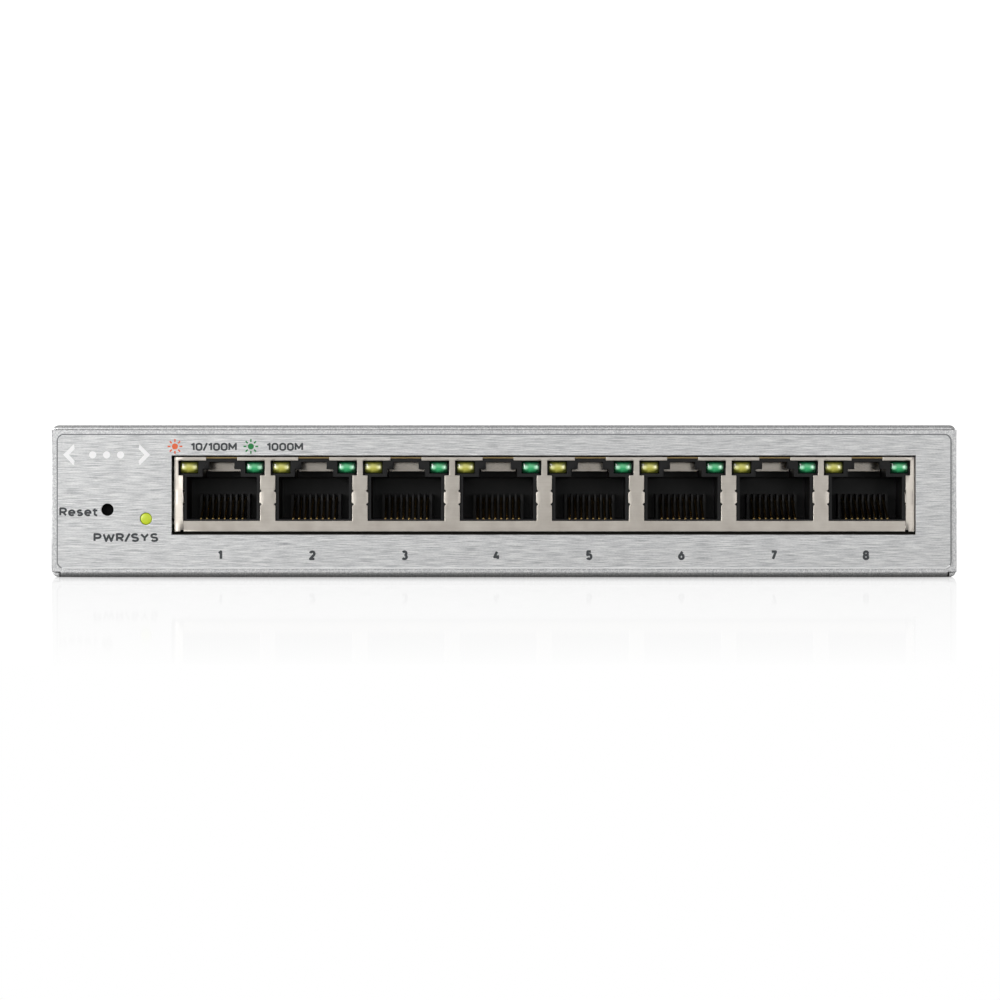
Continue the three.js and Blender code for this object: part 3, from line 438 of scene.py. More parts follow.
def brushed_film():
    """Brushed aluminium film: straight hairlines along X, up to 3.6 mm long and 0.1 mm thick."""
    made, tree, shader = finish_of("brushed_label_film", "#d2d3d3", Metallic=0.65, Roughness=0.42)
    place = add(tree, "TexCoord").outputs["Object"]
    grain, fine, hairs = (
        noise(tree, place, (length, length, thick), 2.0)
        for length, thick in ((0.35, 0.08), (1.6, 0.07), (3.6, 0.1))
    )
    spread = reckon(tree, "MULTIPLY_ADD", fine, 0.8, ranged(tree, hairs, 0.3, 0.62))
    sheen = reckon(tree, "MULTIPLY_ADD", grain, 0.9, spread)
    tone = blend(tree, ranged(tree, sheen, 0.65, 2.0), "#97999c", "#ebebea")
    rough = ranged(tree, fine, 0.0, 1.0, 0.36, 0.5)
    normal = bumped(tree, spread, 0.003, 0.4)
    drive(tree, shader, Base_Color=tone, Roughness=rough, Normal=normal)
    return made


def tin_plate(name, smooth, worn):
    """Bright tin plate on bronze: a warm white metal, softly mottled, with faint rolling lines.

    Its roughness goes from smooth to worn with the mottle.
    """
    made, tree, shader = finish_of(name, "#cbc5bc", Metallic=0.8)
    place = add(tree, "TexCoord").outputs["Object"]
    mottle = noise(tree, place, 2.5, 4.0)
    rolling = noise(tree, place, (6, 6, 0.25), 1.0)
    both = reckon(tree, "MULTIPLY_ADD", rolling, 0.3, mottle)
    tone = blend(tree, ranged(tree, both, 0.4, 0.9), "#b7b0a7", "#c8c2b9")
    drive(tree, shader, Base_Color=tone, Roughness=ranged(tree, mottle, 0.0, 1.0, smooth, worn))
    return made


def moulded(name, colour, paler, roughness, grain=0.3):
    """A moulded plastic: a fine matt texture, grain millimetres across, slightly uneven."""
    made, tree, shader = finish_of(name, colour, Roughness=roughness, Specular_IOR_Level=0.32)
    texture = noise(tree, add(tree, "TexCoord").outputs["Object"], grain, 3.0)
    rough = ranged(tree, texture, 0.0, 1.0, roughness - 0.08, roughness + 0.08)
    tone = blend(tree, texture, colour, paler)
    drive(tree, shader, Base_Color=tone, Roughness=rough, Normal=bumped(tree, texture, 0.01, 0.5))
    return made


def metal(name, colour, worn, roughness, spot=0.8):
    """A metal with faint stains, spot millimetres across, that vary its tone and gloss."""
    made, tree, shader = finish_of(name, colour, Metallic=1.0, Roughness=roughness)
    stain = noise(tree, add(tree, "TexCoord").outputs["Object"], spot, 4.0)
    rough = ranged(tree, stain, 0.0, 1.0, roughness * 0.7, roughness * 1.4)
    drive(tree, shader, Base_Color=blend(tree, stain, colour, worn), Roughness=rough)
    return made


def lamp_lens(name, dark, bright, spark):
    """Tinted clear epoxy over an unlit lamp, with painted shade at the corners and a painted
    highlight over the reflector cup.

    The UV map runs from -1 to 1 across the lens. The painted brightness falls with the distance
    from the middle, unevenly, and two painted glints stand to the left and right of it. A faint
    emission gives the lens a painted glow.
    """
    made, tree, shader = finish_of(name, bright, Roughness=0.12, IOR=1.54)
    shader.inputs["Coat Weight"].default_value = 0.6
    shader.inputs["Coat Roughness"].default_value = 0.05
    place = add(tree, "UVMap", uv_map="UVMap").outputs[0]
    squeezed = add(tree, "Mapping", {"Vector": place, "Scale": (0.95, 1.05, 1.0)})
    reach = add(tree, "VectorMath", {0: squeezed.outputs[0]}, operation="LENGTH").outputs["Value"]
    ripple = add(tree, "TexNoise", {"Vector": place, "Scale": 1.8, "Detail": 3.0}).outputs["Fac"]
    uneven = reckon(tree, "MULTIPLY_ADD", ripple, 0.7, reach)
    share = ranged(tree, uneven, 0.55, 1.42, interpolation_type="SMOOTHSTEP")
    mirrored = add(tree, "VectorMath", {0: place}, operation="ABSOLUTE").outputs[0]
    beside = add(tree, "Mapping", {"Vector": mirrored, "Location": (-0.6, -0.08, 0.0)})
    near = add(tree, "VectorMath", {0: beside.outputs[0]}, operation="LENGTH").outputs["Value"]
    glint = ranged(tree, near, 0.42, 0.0, interpolation_type="SMOOTHSTEP")
    tone = blend(tree, glint, blend(tree, share, bright, dark), spark)
    drive(tree, shader, Base_Color=tone, Emission_Color=tone)
    # A faint painted glow: the lamp is not lit.
    shader.inputs["Emission Strength"].default_value = 0.2
    return made


def diffused_lens():
    """The status lamp: frosted lime epoxy, faintly lit from inside."""
    made, tree, shader = finish_of("lime_status_lens", "#c3d732", Roughness=0.3, IOR=1.5)
    frost = noise(tree, add(tree, "TexCoord").outputs["Object"], 0.4, 2.0)
    tone = blend(tree, frost, "#bccf2a", "#cfe03f")
    drive(tree, shader, Base_Color=tone, Emission_Color=tone)
    shader.inputs["Emission Strength"].default_value = 0.1
    return made


def solder_mask():
    """A glass-epoxy board under green solder mask: its traces show as paler ridges."""
    made, tree, shader = finish_of("green_solder_mask", "#12502b", Roughness=0.3)
    shader.inputs["Coat Weight"].default_value = 0.3
    place = add(tree, "TexCoord").outputs["Object"]
    stretch = tuple(1 / (each * MM) for each in (9, 4, 9))
    stretched = add(tree, "Mapping", {"Vector": place, "Scale": stretch}).outputs[0]
    cells = add(tree, "TexVoronoi", {"Vector": stretched, "Scale": 1.0}, distance="MANHATTAN")
    bands = reckon(tree, "MULTIPLY", cells.outputs["Distance"], 9.0)
    trace = ranged(tree, reckon(tree, "FRACT", bands), 0.55, 0.65)
    tone = blend(tree, trace, "#0f4726", "#1c6a3b")
    drive(tree, shader, Base_Color=tone, Normal=bumped(tree, trace, 0.03, 0.4))
    return made


def print_ink(name, colour):
    """Screen-printed ink: flat and slightly uneven in gloss."""
    made, tree, shader = finish_of(name, colour, Roughness=0.55)
    laid = noise(tree, add(tree, "TexCoord").outputs["Object"], 0.3, 2.0)
    drive(tree, shader, Roughness=ranged(tree, laid, 0.0, 1.0, 0.45, 0.65))
    return made


COAT = powder_coat()
FILM = brushed_film()
# The label's rim: grey painted shade round most of it, and a white painted highlight along its
# bottom.
PAINTED_SHADE_EDGE = print_ink("label_edge_painted_shade", "#7a7c7e")
PAINTED_HIGHLIGHT_EDGE = print_ink("label_edge_painted_highlight", "#ffffff")
TIN = tin_plate("tin_plate", 0.3, 0.44)
BRIGHT_TIN = tin_plate("bright_tin_plate", 0.1, 0.2)
BLACK = moulded("black_glass_filled_plastic", "#050505", "#0c0c0d", 0.5)
BRONZE = metal("bare_bronze_cut_edge", "#b39d74", "#80704f", 0.4)
GOLD = metal("gold_flash_on_bronze", "#f0cf8e", "#dfb566", 0.22, 0.5)
ZINC = metal("bright_zinc_plate", "#c9c9c6", "#a8a9a8", 0.3)
EPOXY = moulded("black_moulded_epoxy", "#17171a", "#232326", 0.6, 0.15)
ANODISED = metal("black_anodised_aluminium", "#1d1e21", "#2a2b2e", 0.5)
SLEEVE = moulded("capacitor_sleeve", "#171b24", "#1f2430", 0.25, 1.5)
# Each lens: its painted-shade corner colour, painted-highlight middle colour and painted glint
# colour.
YELLOW_LENS = lamp_lens("yellow_green_lens_painted_light", "#3a3d10", "#bcb954", "#e4e39a")
GREEN_LENS = lamp_lens("green_lens_painted_light", "#04301c", "#3fae70", "#a7e8c0")
LIME = diffused_lens()
MASK = solder_mask()
# The board's cut sides in near black: painted shade, as its front edge sits in shadow under the
# jacks.
BOARD_EDGE_PAINTED_SHADE = moulded("board_edge_painted_shade", "#15130c", "#221e13", 0.7)
GREY_INK = print_ink("dark_grey_ink", "#3a3d40")
WHITE_INK = print_ink("white_ink", "#ffffff")
ORANGE_INK = print_ink("orange_ink", "#ee6c40")
GREEN_INK = print_ink("green_ink", "#14803c")


# ------------------------------------------------------------------ camera, light and floor

SENSOR = 36.0
CAMERA_DISTANCE = 700.0
FRAME_WIDTH = 171.2
CAMERA_X = -0.7
CAMERA_Z = 13.17
GLOSS_REACH = 374.0


def make_camera():
    """A long lens level with the case, which looks straight at its front."""
    data = bpy.data.cameras.new("camera")
    data.sensor_width = SENSOR
    data.lens = SENSOR * CAMERA_DISTANCE / FRAME_WIDTH
    data.clip_start = 0.01
    made = bpy.data.objects.new("camera", data)
    made.location = (CAMERA_X * MM, (FACE - CAMERA_DISTANCE) * MM, CAMERA_Z * MM)
    made.rotation_euler = (math.pi / 2, 0, 0)
    bpy.context.scene.collection.objects.link(made)
    bpy.context.scene.camera = made


def area_light(name, place, aim, size, power):
    """A soft square light at place, turned towards aim, both in metres."""
    data = bpy.data.lights.new(name, "AREA")
    data.shape = "SQUARE"
    data.size = size
    data.energy = power
    made = bpy.data.objects.new(name, data)
    direction = np.array(aim) - np.array(place)
    made.location = place
    heading = math.atan2(direction[0], direction[1])
    drop = math.atan2(math.hypot(direction[0], direction[1]), -direction[2])
    made.rotation_euler = (drop, 0, -heading)
    bpy.context.scene.collection.objects.link(made)


def make_world():
    """A pale room: brightest round the horizon and on the left, dimmer overhead."""
    world = bpy.data.worlds.new("studio")
    bpy.context.scene.world = world
    world.use_nodes = True
    tree = world.node_tree
    tree.nodes.clear()
    way = add(tree, "TexCoord").outputs["Generated"]
    apart = add(tree, "SeparateXYZ", {0: way})
    high, across = apart.outputs["Z"], apart.outputs["X"]
    level = ranged(tree, high, 0.1, 0.6, 1.12, 0.2, interpolation_type="SMOOTHSTEP")
    tone = reckon(tree, "MULTIPLY", level, ranged(tree, across, 0.2, -1.0, 1.05, 1.7))
    share = reckon(tree, "MAXIMUM", tone, add(tree, "LightPath").outputs["Is Camera Ray"])
    background = add(tree, "Background", {"Color": (1, 1, 1, 1), "Strength": share})
    add(tree, "OutputWorld", {"Surface": background.outputs[0]})


def make_floor():
    """A pale polished table, dim as a light, whose gloss fades towards the front.

    Its gloss is 0.15 times (1 - d / 374)^0.65 at d millimetres in front of the case, and
    1.2 times the share of the sky that the case hides is added to it. The reflection is traced,
    but that extra gloss by the case darkens the table there as a painted contact shadow.
    1.2 times the share of the sky that the case hides is added to it.
    """
    made = bpy.data.materials.new("pale_table")
    made.use_nodes = True
    tree = made.node_tree
    tree.nodes.clear()
    place = add(tree, "TexCoord").outputs["Object"]
    apart = add(tree, "SeparateXYZ", {0: place})
    near = ranged(tree, apart.outputs["Y"], (FACE - GLOSS_REACH) * MM, FACE * MM)
    curve = reckon(tree, "POWER", near, 0.65)
    open_share = add(tree, "AmbientOcclusion", {"Distance": 150 * MM}, samples=8).outputs["AO"]
    # Painted shade: more mirror where the case hides the sky, which darkens the table beside the
    # case.
    close = ranged(tree, open_share, 0.0, 1.0, 1.2, 0.0)
    gloss = reckon(tree, "MULTIPLY_ADD", curve, 0.15, close)
    pale = add(tree, "Emission", {"Color": (1, 1, 1, 1), "Strength": 1.0})
    dim = add(tree, "BsdfDiffuse", {"Color": (0.08, 0.08, 0.08, 1)})
    seen = add(tree, "LightPath").outputs["Is Camera Ray"]
    mirror = add(tree, "BsdfGlossy", {"Color": (1, 1, 1, 1), "Roughness": 0.03})
    polished = add(tree, "MixShader", {0: gloss, 1: pale.outputs[0], 2: mirror.outputs[0]})
    both = add(tree, "MixShader", {0: seen, 1: dim.outputs[0], 2: polished.outputs[0]})
    add(tree, "OutputMaterial", {"Surface": both.outputs[0]})
    reach = 6.0
    corners = [(-reach, -reach, 0), (reach, -reach, 0), (reach, reach, 0), (-reach, reach, 0)]
    mesh = bpy.data.meshes.new("table")
    mesh.from_pydata(corners, [], [(0, 1, 2, 3)])
    mesh.materials.append(made)
    table = bpy.data.objects.new("table", mesh)
    bpy.context.scene.collection.objects.link(table)


make_camera()
make_world()
make_floor()
area_light("front_left_softbox", (-0.6, -0.75, 0.15), (-0.03, -0.05, 0.013), 0.5, 5.8)
area_light("front_right_softbox", (0.33, -0.75, 0.05), (0.05, -0.05, 0.013), 0.15, 0.45)
area_light("overhead_softbox", (-0.1, 0.1, 0.75), (0.0, 0.0, 0.0), 0.6, 0.25)
bpy.context.scene.view_settings.view_transform = "Standard"


# ------------------------------------------------------------------ case


def across_x(fold):
    """Places a sheet whose u runs along X and whose v follows a fold in Y and Z."""

    def place(points):
        y, z = fold.place(points[:, 1], points[:, 2]).T
        return np.column_stack([points[:, 0], y, z])

    return place


def turned_over(mesh_data):
    """The same mesh with every face pointing the other way."""
    points, faces = mesh_data
    return points, faces[:, ::-1]


def across_y(fold):
    """Places a sheet whose u follows a fold in X and Z and whose v runs along Y."""

    def place(points):
        x, z = fold.place(points[:, 0], points[:, 2]).T
        return np.column_stack([x, points[:, 1], z])

    return place


def hole(middle, radius, margin=0.7, **more):
    """A plain round hole. A narrow flat ring keeps the sheet flat to the eye up to it."""
    rings = [(radius + 0.1, 0), (radius, 0)]
    return Feature(middle, (radius + margin, radius + margin), rings, **more)


def make_bottom():
    """The bottom, front wall and back wall: one sheet folded along four lines, extruded along X."""
    fold = Fold(
        [
            (WALL_FRONT + LIP, WALL_TOP),
            (WALL_FRONT, WALL_TOP),
            (WALL_FRONT, 0),
            (BACK, 0),
            (BACK, WALL_TOP),
            (BACK - LIP, WALL_TOP),
        ],
        [LIP_BEND, FLOOR_BEND, FLOOR_BEND, LIP_BEND],
    )
    front = lambda z: fold.at(1, WALL_TOP - z)
    floor = lambda y: fold.at(2, y - WALL_FRONT)
    back = lambda z: fold.at(3, z)
    # A drawn post under each board screw: from its foot's fillet to its open top.
    post = [(5.2, 0), (4.7, 0.12), (4.3, 0.45), (2.7, 4.9), (2.3, 5.3), (1.6, 5.35)]
    features = [
        hole((STATUS[0], front(STATUS[2])), FRONT_HOLE + 0.25),
        hole((RESET[0], front(RESET[2])), FRONT_HOLE + 0.25),
        hole((INLET[0], back(INLET[2])), 4.4, 1.2, steps=12),
        *[Feature((x, floor(y)), (6.2, 6.2), post, steps=10) for x, y, _ in POSTS],
        *[keyhole(side * KEYHOLE_X, floor) for side in SIDES],
    ]
    ear_root = SIDE - SHEET - EAR_IN - SHEET - 2
    ear_half = 5 + SLIP
    screw_y = sorted({round(y, 3) for _, y, _ in COVER_SCREWS})
    us = lines(
        [
            *[side * (SIDE - x) for side in SIDES for x in (0, 0.15, LIP_END_GAP)],
            *[side * x for side in SIDES for x in (FLOOR_SIDE, ear_root)],
            *WINDOW_X,
        ],
        features,
        0,
    )
    ear_marks = [floor(y + e * ear_half) for y in screw_y for e in SIDES]
    vs = lines([*fold.marks, front(WINDOW_Z[0]), front(WINDOW_Z[1]), *ear_marks], features, 1)

    def keep(x, y, z):
        lip = (z > WALL_TOP - LIP_BEND) & (y > WALL_FRONT + SHEET) & (y < BACK - SHEET)
        low = z < SHEET + 0.06
        limit = np.where(lip, SIDE - LIP_END_GAP, np.where(low, FLOOR_SIDE, SIDE))
        window = (y < WALL_FRONT + 0.5) & (x > WINDOW_X[0]) & (x < WINDOW_X[1])
        window &= (z > WINDOW_Z[0]) & (z < WINDOW_Z[1])
        ear = low & (np.abs(x) > ear_root) & (np.abs(np.abs(y) - screw_y[1]) < ear_half)
        return (np.abs(x) < limit) & ~window & ~ear

    shell = turned_over(wrapped(us, vs, across_x(fold), keep, SHEET, features))
    ears = [make_ear(side, y, ear_root) for side in SIDES for y in screw_y]
    piece(
        "folded_bottom",
        together(shell, *ears),
        COAT,
        replaces=["bottom_chassis"],
        slot="case_paint",
        bevel=0.08,
    )


def keyhole(x, floor):
    """A wall-mount keyhole: a round head, and a narrower neck that runs towards the back.

    At v along the core past the head's middle, its half width is the neck's, or
    sqrt(R^2 - v^2) of the head's circle if that is more.
    """
    head, neck, run = 3.6, 1.8, 6.5

    def width(core):
        past = core[:, 1] + run / 2
        return np.maximum(neck, np.sqrt(np.maximum(head**2 - past**2, 0)))

    rings = [(lambda core: width(core) + 0.15, 0), (width, 0)]
    return Feature((x, floor(run / 2)), (4.6, run / 2 + 4.6), rings, core=(0, run / 2), steps=24)


def make_ear(side, y, root):
    """A tab bent up from the floor's edge, with a tapped hole for a cover screw."""
    outer = SIDE - SHEET - EAR_IN - 0.05
    fold = Fold([(root - 1.4, 0), (outer, 0), (outer, 13.5)], [FLOOR_BEND])
    tap = hole((fold.at(1, COVER_SCREWS[0][2]), y), 1.6)
    us = lines(fold.marks, [tap], 0)
    vs = lines([y - 5, y + 5], [tap], 1)
    made = wrapped(us, vs, across_y(fold), lambda x, *_: x > 0, SHEET, [tap])
    points, faces = turned_over(made)
    if side < 0:
        points = points * np.array([-1, 1, 1])
        faces = faces[:, ::-1]
    return points, faces


def make_cover():
    """The cover: one sheet folded over the top and both sides, its lower edges curled in."""
    right = [(SIDE - CURL, 0), (SIDE, 0), (SIDE, HEIGHT)]
    left = [(-x, z) for x, z in right[::-1]]
    fold = Fold(right + left, [CURL_BEND, COVER_BEND, COVER_BEND, CURL_BEND])
    up = lambda side, z: fold.at(1, z) if side > 0 else fold.at(3, HEIGHT - z)
    # A countersink for a screw's head, from its rounded rim to the clear hole.
    sink = [(3.15, 0), (2.95, 0.05), (2.85, 0.2), (1.7, 1.45), (1.6, 1.6)]
    dimples = [
        Feature((up(np.sign(x), z), y), (4.3, 4.3), sink, steps=10) for x, y, z in COVER_SCREWS
    ]
    vent_low, vent_high, half_wide, pitch = 7.0, HEIGHT - 6.5, 0.9, 4.2
    row = 2 * COVER_SCREWS[1][1] - 2 * 9
    count = 1 + int(row / pitch)
    middle = (vent_low + vent_high) / 2
    core = (vent_high - vent_low) / 2 - half_wide
    vents = [
        Feature(
            (up(side, middle), (i - (count - 1) / 2) * pitch),
            (core + 2.2, pitch / 2),
            [(half_wide + 0.12, 0), (half_wide, 0.08)],
            core=(core, 0),
        )
        for side in SIDES
        for i in range(count)
    ]
    features = dimples + vents
    inner = WALL_FRONT + SHEET + SLIP
    edge = 0.7
    rounding = edge * (1 - np.cos(np.linspace(0, math.pi / 2, 7)))
    us = lines(fold.marks, features, 0)
    ends = [*(WALL_FRONT + rounding), inner, BACK - SHEET - SLIP, *(BACK - rounding)]
    vs = lines(ends, features, 1)
    folded = across_y(fold)

    def place(points):
        """Towards both ends e mm away, the outer skin sinks by R - sqrt(R^2 - (R - e)^2)."""
        made = points.copy()
        away = np.minimum(np.abs(made[:, 1] - WALL_FRONT), np.abs(BACK - made[:, 1]))
        reach = edge - np.clip(away, 0, edge)
        made[:, 2] += np.where(made[:, 2] < SHEET / 2, edge - np.sqrt(edge**2 - reach**2), 0)
        return folded(made)

    def keep(x, y, z):
        end = (y < inner) | (y > BACK - SHEET - SLIP)
        return ~end | (z > HEIGHT - 0.55)

    shell = turned_over(wrapped(us, vs, place, keep, SHEET, features))
    piece("folded_cover", shell, COAT, replaces=["top_cover"], slot="case_paint", bevel=0.06)


def rounded_corners(points, low, high, radius):
    """Moves a flat sheet's points so that its four outer corners are round.

    Within a corner's square, p and q run from 0 to 1 towards the corner, and each is
    multiplied by the square root of one less half of the other squared.
    """
    made = points.copy()
    middle = (low + high) / 2
    half = (high - low) / 2
    offset = made[:, :2] - middle
    inside = np.abs(offset) - (half - radius)
    here = (inside > 0).all(1)
    p, q = inside[here, 0] / radius, inside[here, 1] / radius
    bent = np.stack([p * np.sqrt(1 - q**2 / 2), q * np.sqrt(1 - p**2 / 2)], 1) * radius
    made[here, :2] = middle + np.sign(offset[here]) * (half - radius + bent)
    return made


def make_label():
    """The brushed film on the front wall: a thin plate with the wall's openings in it."""
    low, high = (corner[[0, 2]] for corner in corners_of("front_label"))
    thickness = corners_of("front_label")[1][1] - FACE
    radius, border = 1.2, 0.2
    features = [hole(STATUS[[0, 2]], FRONT_HOLE), hole(RESET[[0, 2]], FRONT_HOLE)]
    corner = np.concatenate([[0, 0.12], np.linspace(border, radius, 9)])
    us = lines([*(low[0] + corner), *(high[0] - corner), *WINDOW_X], features, 0)
    vs = lines([*(low[1] + corner), *(high[1] - corner), *WINDOW_Z], features, 1)

    def place(points):
        return np.column_stack([points[:, 0], FACE + 0.01 + points[:, 2], points[:, 1]])

    def keep(x, y, z):
        across = (x > WINDOW_X[0]) & (x < WINDOW_X[1])
        return ~(across & (z > WINDOW_Z[0]) & (z < WINDOW_Z[1]))

    adjust = lambda points: rounded_corners(points, low, high, radius)
    plate = wrapped(us, vs, place, keep, thickness, features, adjust)
    finishes = [FILM, PAINTED_SHADE_EDGE, PAINTED_HIGHLIGHT_EDGE]
    made = piece(
        "brushed_label", plate, finishes, replaces=["front_label"], slot="label_brushed", bevel=0.03
    )
    points, faces = plate
    middles = points[faces].mean(1)[:, [0, 2]]
    away = middles - (low + high) / 2
    past = np.maximum(np.abs(away) - (high - low) / 2 + radius, 0)
    reach = np.hypot(*past.T)
    # Rim faces turned towards EDGE_LIGHT get the white painted highlight, the rest of the rim grey
    # painted shade.
    at_edge = reach > radius - border
    towards_light = (past * np.sign(away)) @ np.array(EDGE_LIGHT)
    lit = at_edge & (towards_light > 0.8 * reach)
    made.data.polygons.foreach_set("material_index", (at_edge * 1 + lit * 1).astype(np.int32))


# ------------------------------------------------------------------ legends

LEGEND_Y = FACE + 0.0005
INK_LAYER = 0.001


def flat_shape(name, outlines, material):
    """Printed ink: filled outlines in X and Z, just proud of the label.

    Each comes with its layer, so that outlines that overlap aren't in one plane.
    """
    points, faces = [], []
    for outline, layer in outlines:
        start = len(points)
        points.extend([(x, LEGEND_Y + layer * INK_LAYER, z) for x, z in outline])
        faces.append(list(range(start, start + len(outline))))
    return piece(name, (np.array(points), faces), material, slot="label_brushed")


def arc(x, z, across, rise, start, end):
    """Points on an ellipse about (x, z) from one angle to another, in degrees."""
    angle = np.radians(np.linspace(start, end, 2 + int(abs(end - start) / 20)))
    return [(x + across * math.cos(a), z + rise * math.sin(a)) for a in angle]


# Each glyph's width and the middle lines of its strokes, in units of the height of a capital.
GLYPHS = {
    "0": (
        0.6,
        [arc(0.3, 0.7, 0.3, 0.3, 0, 180) + arc(0.3, 0.3, 0.3, 0.3, 180, 360) + [(0.6, 0.7)]],
    ),
    "1": (0.3, [[(0, 0.78), (0.28, 1), (0.28, 0)]]),
    "2": (0.56, [arc(0.28, 0.71, 0.28, 0.29, 165, -38) + [(0, 0), (0.58, 0)]]),
    "3": (0.56, [arc(0.27, 0.76, 0.25, 0.24, 150, -90), arc(0.27, 0.26, 0.29, 0.26, 90, -150)]),
    "4": (0.64, [[(0.34, 1), (0, 0.26), (0.64, 0.26)], [(0.46, 0.5), (0.46, 0)]]),
    "5": (0.56, [[(0.52, 1), (0.08, 1), (0.04, 0.56)] + arc(0.27, 0.31, 0.29, 0.31, 125, -150)]),
    "6": (0.58, [arc(0.29, 0.3, 0.29, 0.3, 0, 360), [(0.42, 1), (0.06, 0.46)]]),
    "7": (0.56, [[(0, 1), (0.56, 1), (0.18, 0)]]),
    "8": (0.58, [arc(0.29, 0.76, 0.25, 0.24, 0, 360), arc(0.29, 0.26, 0.29, 0.26, 0, 360)]),
    "/": (0.26, [[(-0.08, -0.1), (0.34, 1.1)]]),
    "M": (0.78, [[(0, 0), (0, 1), (0.39, 0.3), (0.78, 1), (0.78, 0)]]),
    "P": (0.56, [[(0, 0), (0, 1), (0.3, 1)] + arc(0.3, 0.72, 0.27, 0.28, 70, -90) + [(0, 0.44)]]),
    "R": (
        0.56,
        [
            [(0, 0), (0, 1), (0.3, 1)] + arc(0.3, 0.73, 0.26, 0.27, 70, -90) + [(0, 0.46)],
            [(0.28, 0.46), (0.56, 0)],
        ],
    ),
    "S": (0.56, [arc(0.28, 0.75, 0.27, 0.25, 30, 270) + arc(0.28, 0.25, 0.28, 0.25, 75, -150)]),
    "W": (0.96, [[(0, 1), (0.24, 0), (0.48, 0.85), (0.72, 0), (0.96, 1)]]),
    "Y": (0.66, [[(0, 1), (0.33, 0.48), (0.66, 1)], [(0.33, 0.48), (0.33, 0)]]),
    "e": (0.54, [[(0, 0.36), (0.54, 0.36)] + arc(0.27, 0.36, 0.27, 0.36, 15, 315)]),
    "s": (0.44, [arc(0.22, 0.54, 0.2, 0.18, 35, 270) + arc(0.22, 0.18, 0.22, 0.18, 75, -150)]),
    "t": (
        0.34,
        [[(0.1, 1), (0.1, 0.2)] + arc(0.3, 0.2, 0.2, 0.2, 195, 285), [(-0.1, 0.7), (0.36, 0.7)]],
    ),
}


def disc(x, z, radius, sides):
    """Points evenly round a circle."""
    angle = np.linspace(0, 2 * math.pi, sides, endpoint=False)
    return np.column_stack([x + radius * np.cos(angle), z + radius * np.sin(angle)])


def ribbon(path, half):
    """Quads either side of a path, mitred by n1 + n2 over 1 + n1.n2, and discs at sharp turns.

    Each is paired with its layer: the quads move on by one at a sharp turn, then come the discs.
    """
    path = np.array(path, float)
    steps = np.diff(path, axis=0)
    steps /= np.linalg.norm(steps, axis=1)[:, None]
    normal = np.stack([-steps[:, 1], steps[:, 0]], 1)
    meet = (normal[1:] * normal[:-1]).sum(1)
    mitre = (normal[1:] + normal[:-1]) / (1 + np.maximum(meet, 0))[:, None]
    smooth = meet[:, None] > 0.3
    into = np.concatenate([normal[:1], np.where(smooth, mitre, normal[1:])]) * half
    out = np.concatenate([np.where(smooth, mitre, normal[:-1]), normal[-1:]]) * half
    a, b = path[:-1], path[1:]
    turns = np.concatenate([[0], np.cumsum(meet <= 0.3)])
    quads = list(zip(np.stack([a - into, b - out, b + out, a + into], 1), turns))
    sharp = path[1:-1][meet <= 0.3]
    return quads + [(disc(*corner, half, 12), turns[-1] + 1) for corner in sharp]


def legend(name, words, left, right, low, high, material, stroke):
    """Lettering in one weight of line, spread evenly between these four places on the label."""
    gap = 0.3
    wide = sum(GLYPHS[letter][0] for letter in words) + gap * (len(words) - 1)
    spread = (right - left - stroke) / wide
    rise = high - low - stroke
    at = left + stroke / 2
    outlines = []
    for letter in words:
        width, strokes = GLYPHS[letter]
        layer = 0
        for line in strokes:
            path = [(at + x * spread, low + stroke / 2 + z * rise) for x, z in line]
            drawn = [(outline, layer + above) for outline, above in ribbon(path, stroke / 2)]
            layer = 1 + max(above for _, above in drawn)
            outlines.extend(drawn)
        at += (width + gap) * spread
    return flat_shape(name, outlines, material)


def burst(name, x, z, material):
    """A lamp symbol: a disc with eight short rays round it."""
    disc_r, ray_in, ray_out, ray_half = 0.52, 0.76, 1.26, 0.13
    outlines = [(disc(x, z, disc_r, 24), 0)]
    for k in range(8):
        c, s = math.cos(k * math.pi / 4), math.sin(k * math.pi / 4)
        ends = ((ray_in, -1), (ray_out, -1), (ray_out, 1), (ray_in, 1))
        along = np.array([(reach, side * ray_half) for reach, side in ends])
        outlines.append((along @ np.array([(c, s), (-s, c)]) + (x, z), 0))
    flat_shape(name, outlines, material)


def link_mark(name, left, right, low, high, material):
    """A generic wired-link mark: two open brackets that point outwards, with three dots between."""
    middle, stroke = (low + high) / 2, 0.75
    arm = (high - low) / 2
    outlines = []
    for side, tip in ((-1, left), (1, right)):
        back = tip - side * arm
        inset = stroke * 1.35
        bracket = [
            (tip, middle),
            (back, high),
            (back - side * 0.2, high - stroke),
            (tip - side * inset, middle),
            (back - side * 0.2, low + stroke),
            (back, low),
        ]
        outlines.append((bracket[::side], 0))
    for k in (-1, 0, 1):
        x = (left + right) / 2 + k * (right - left) * 0.16
        outlines.append((disc(x, middle, 0.62, 20), 0))
    flat_shape(name, outlines, material)


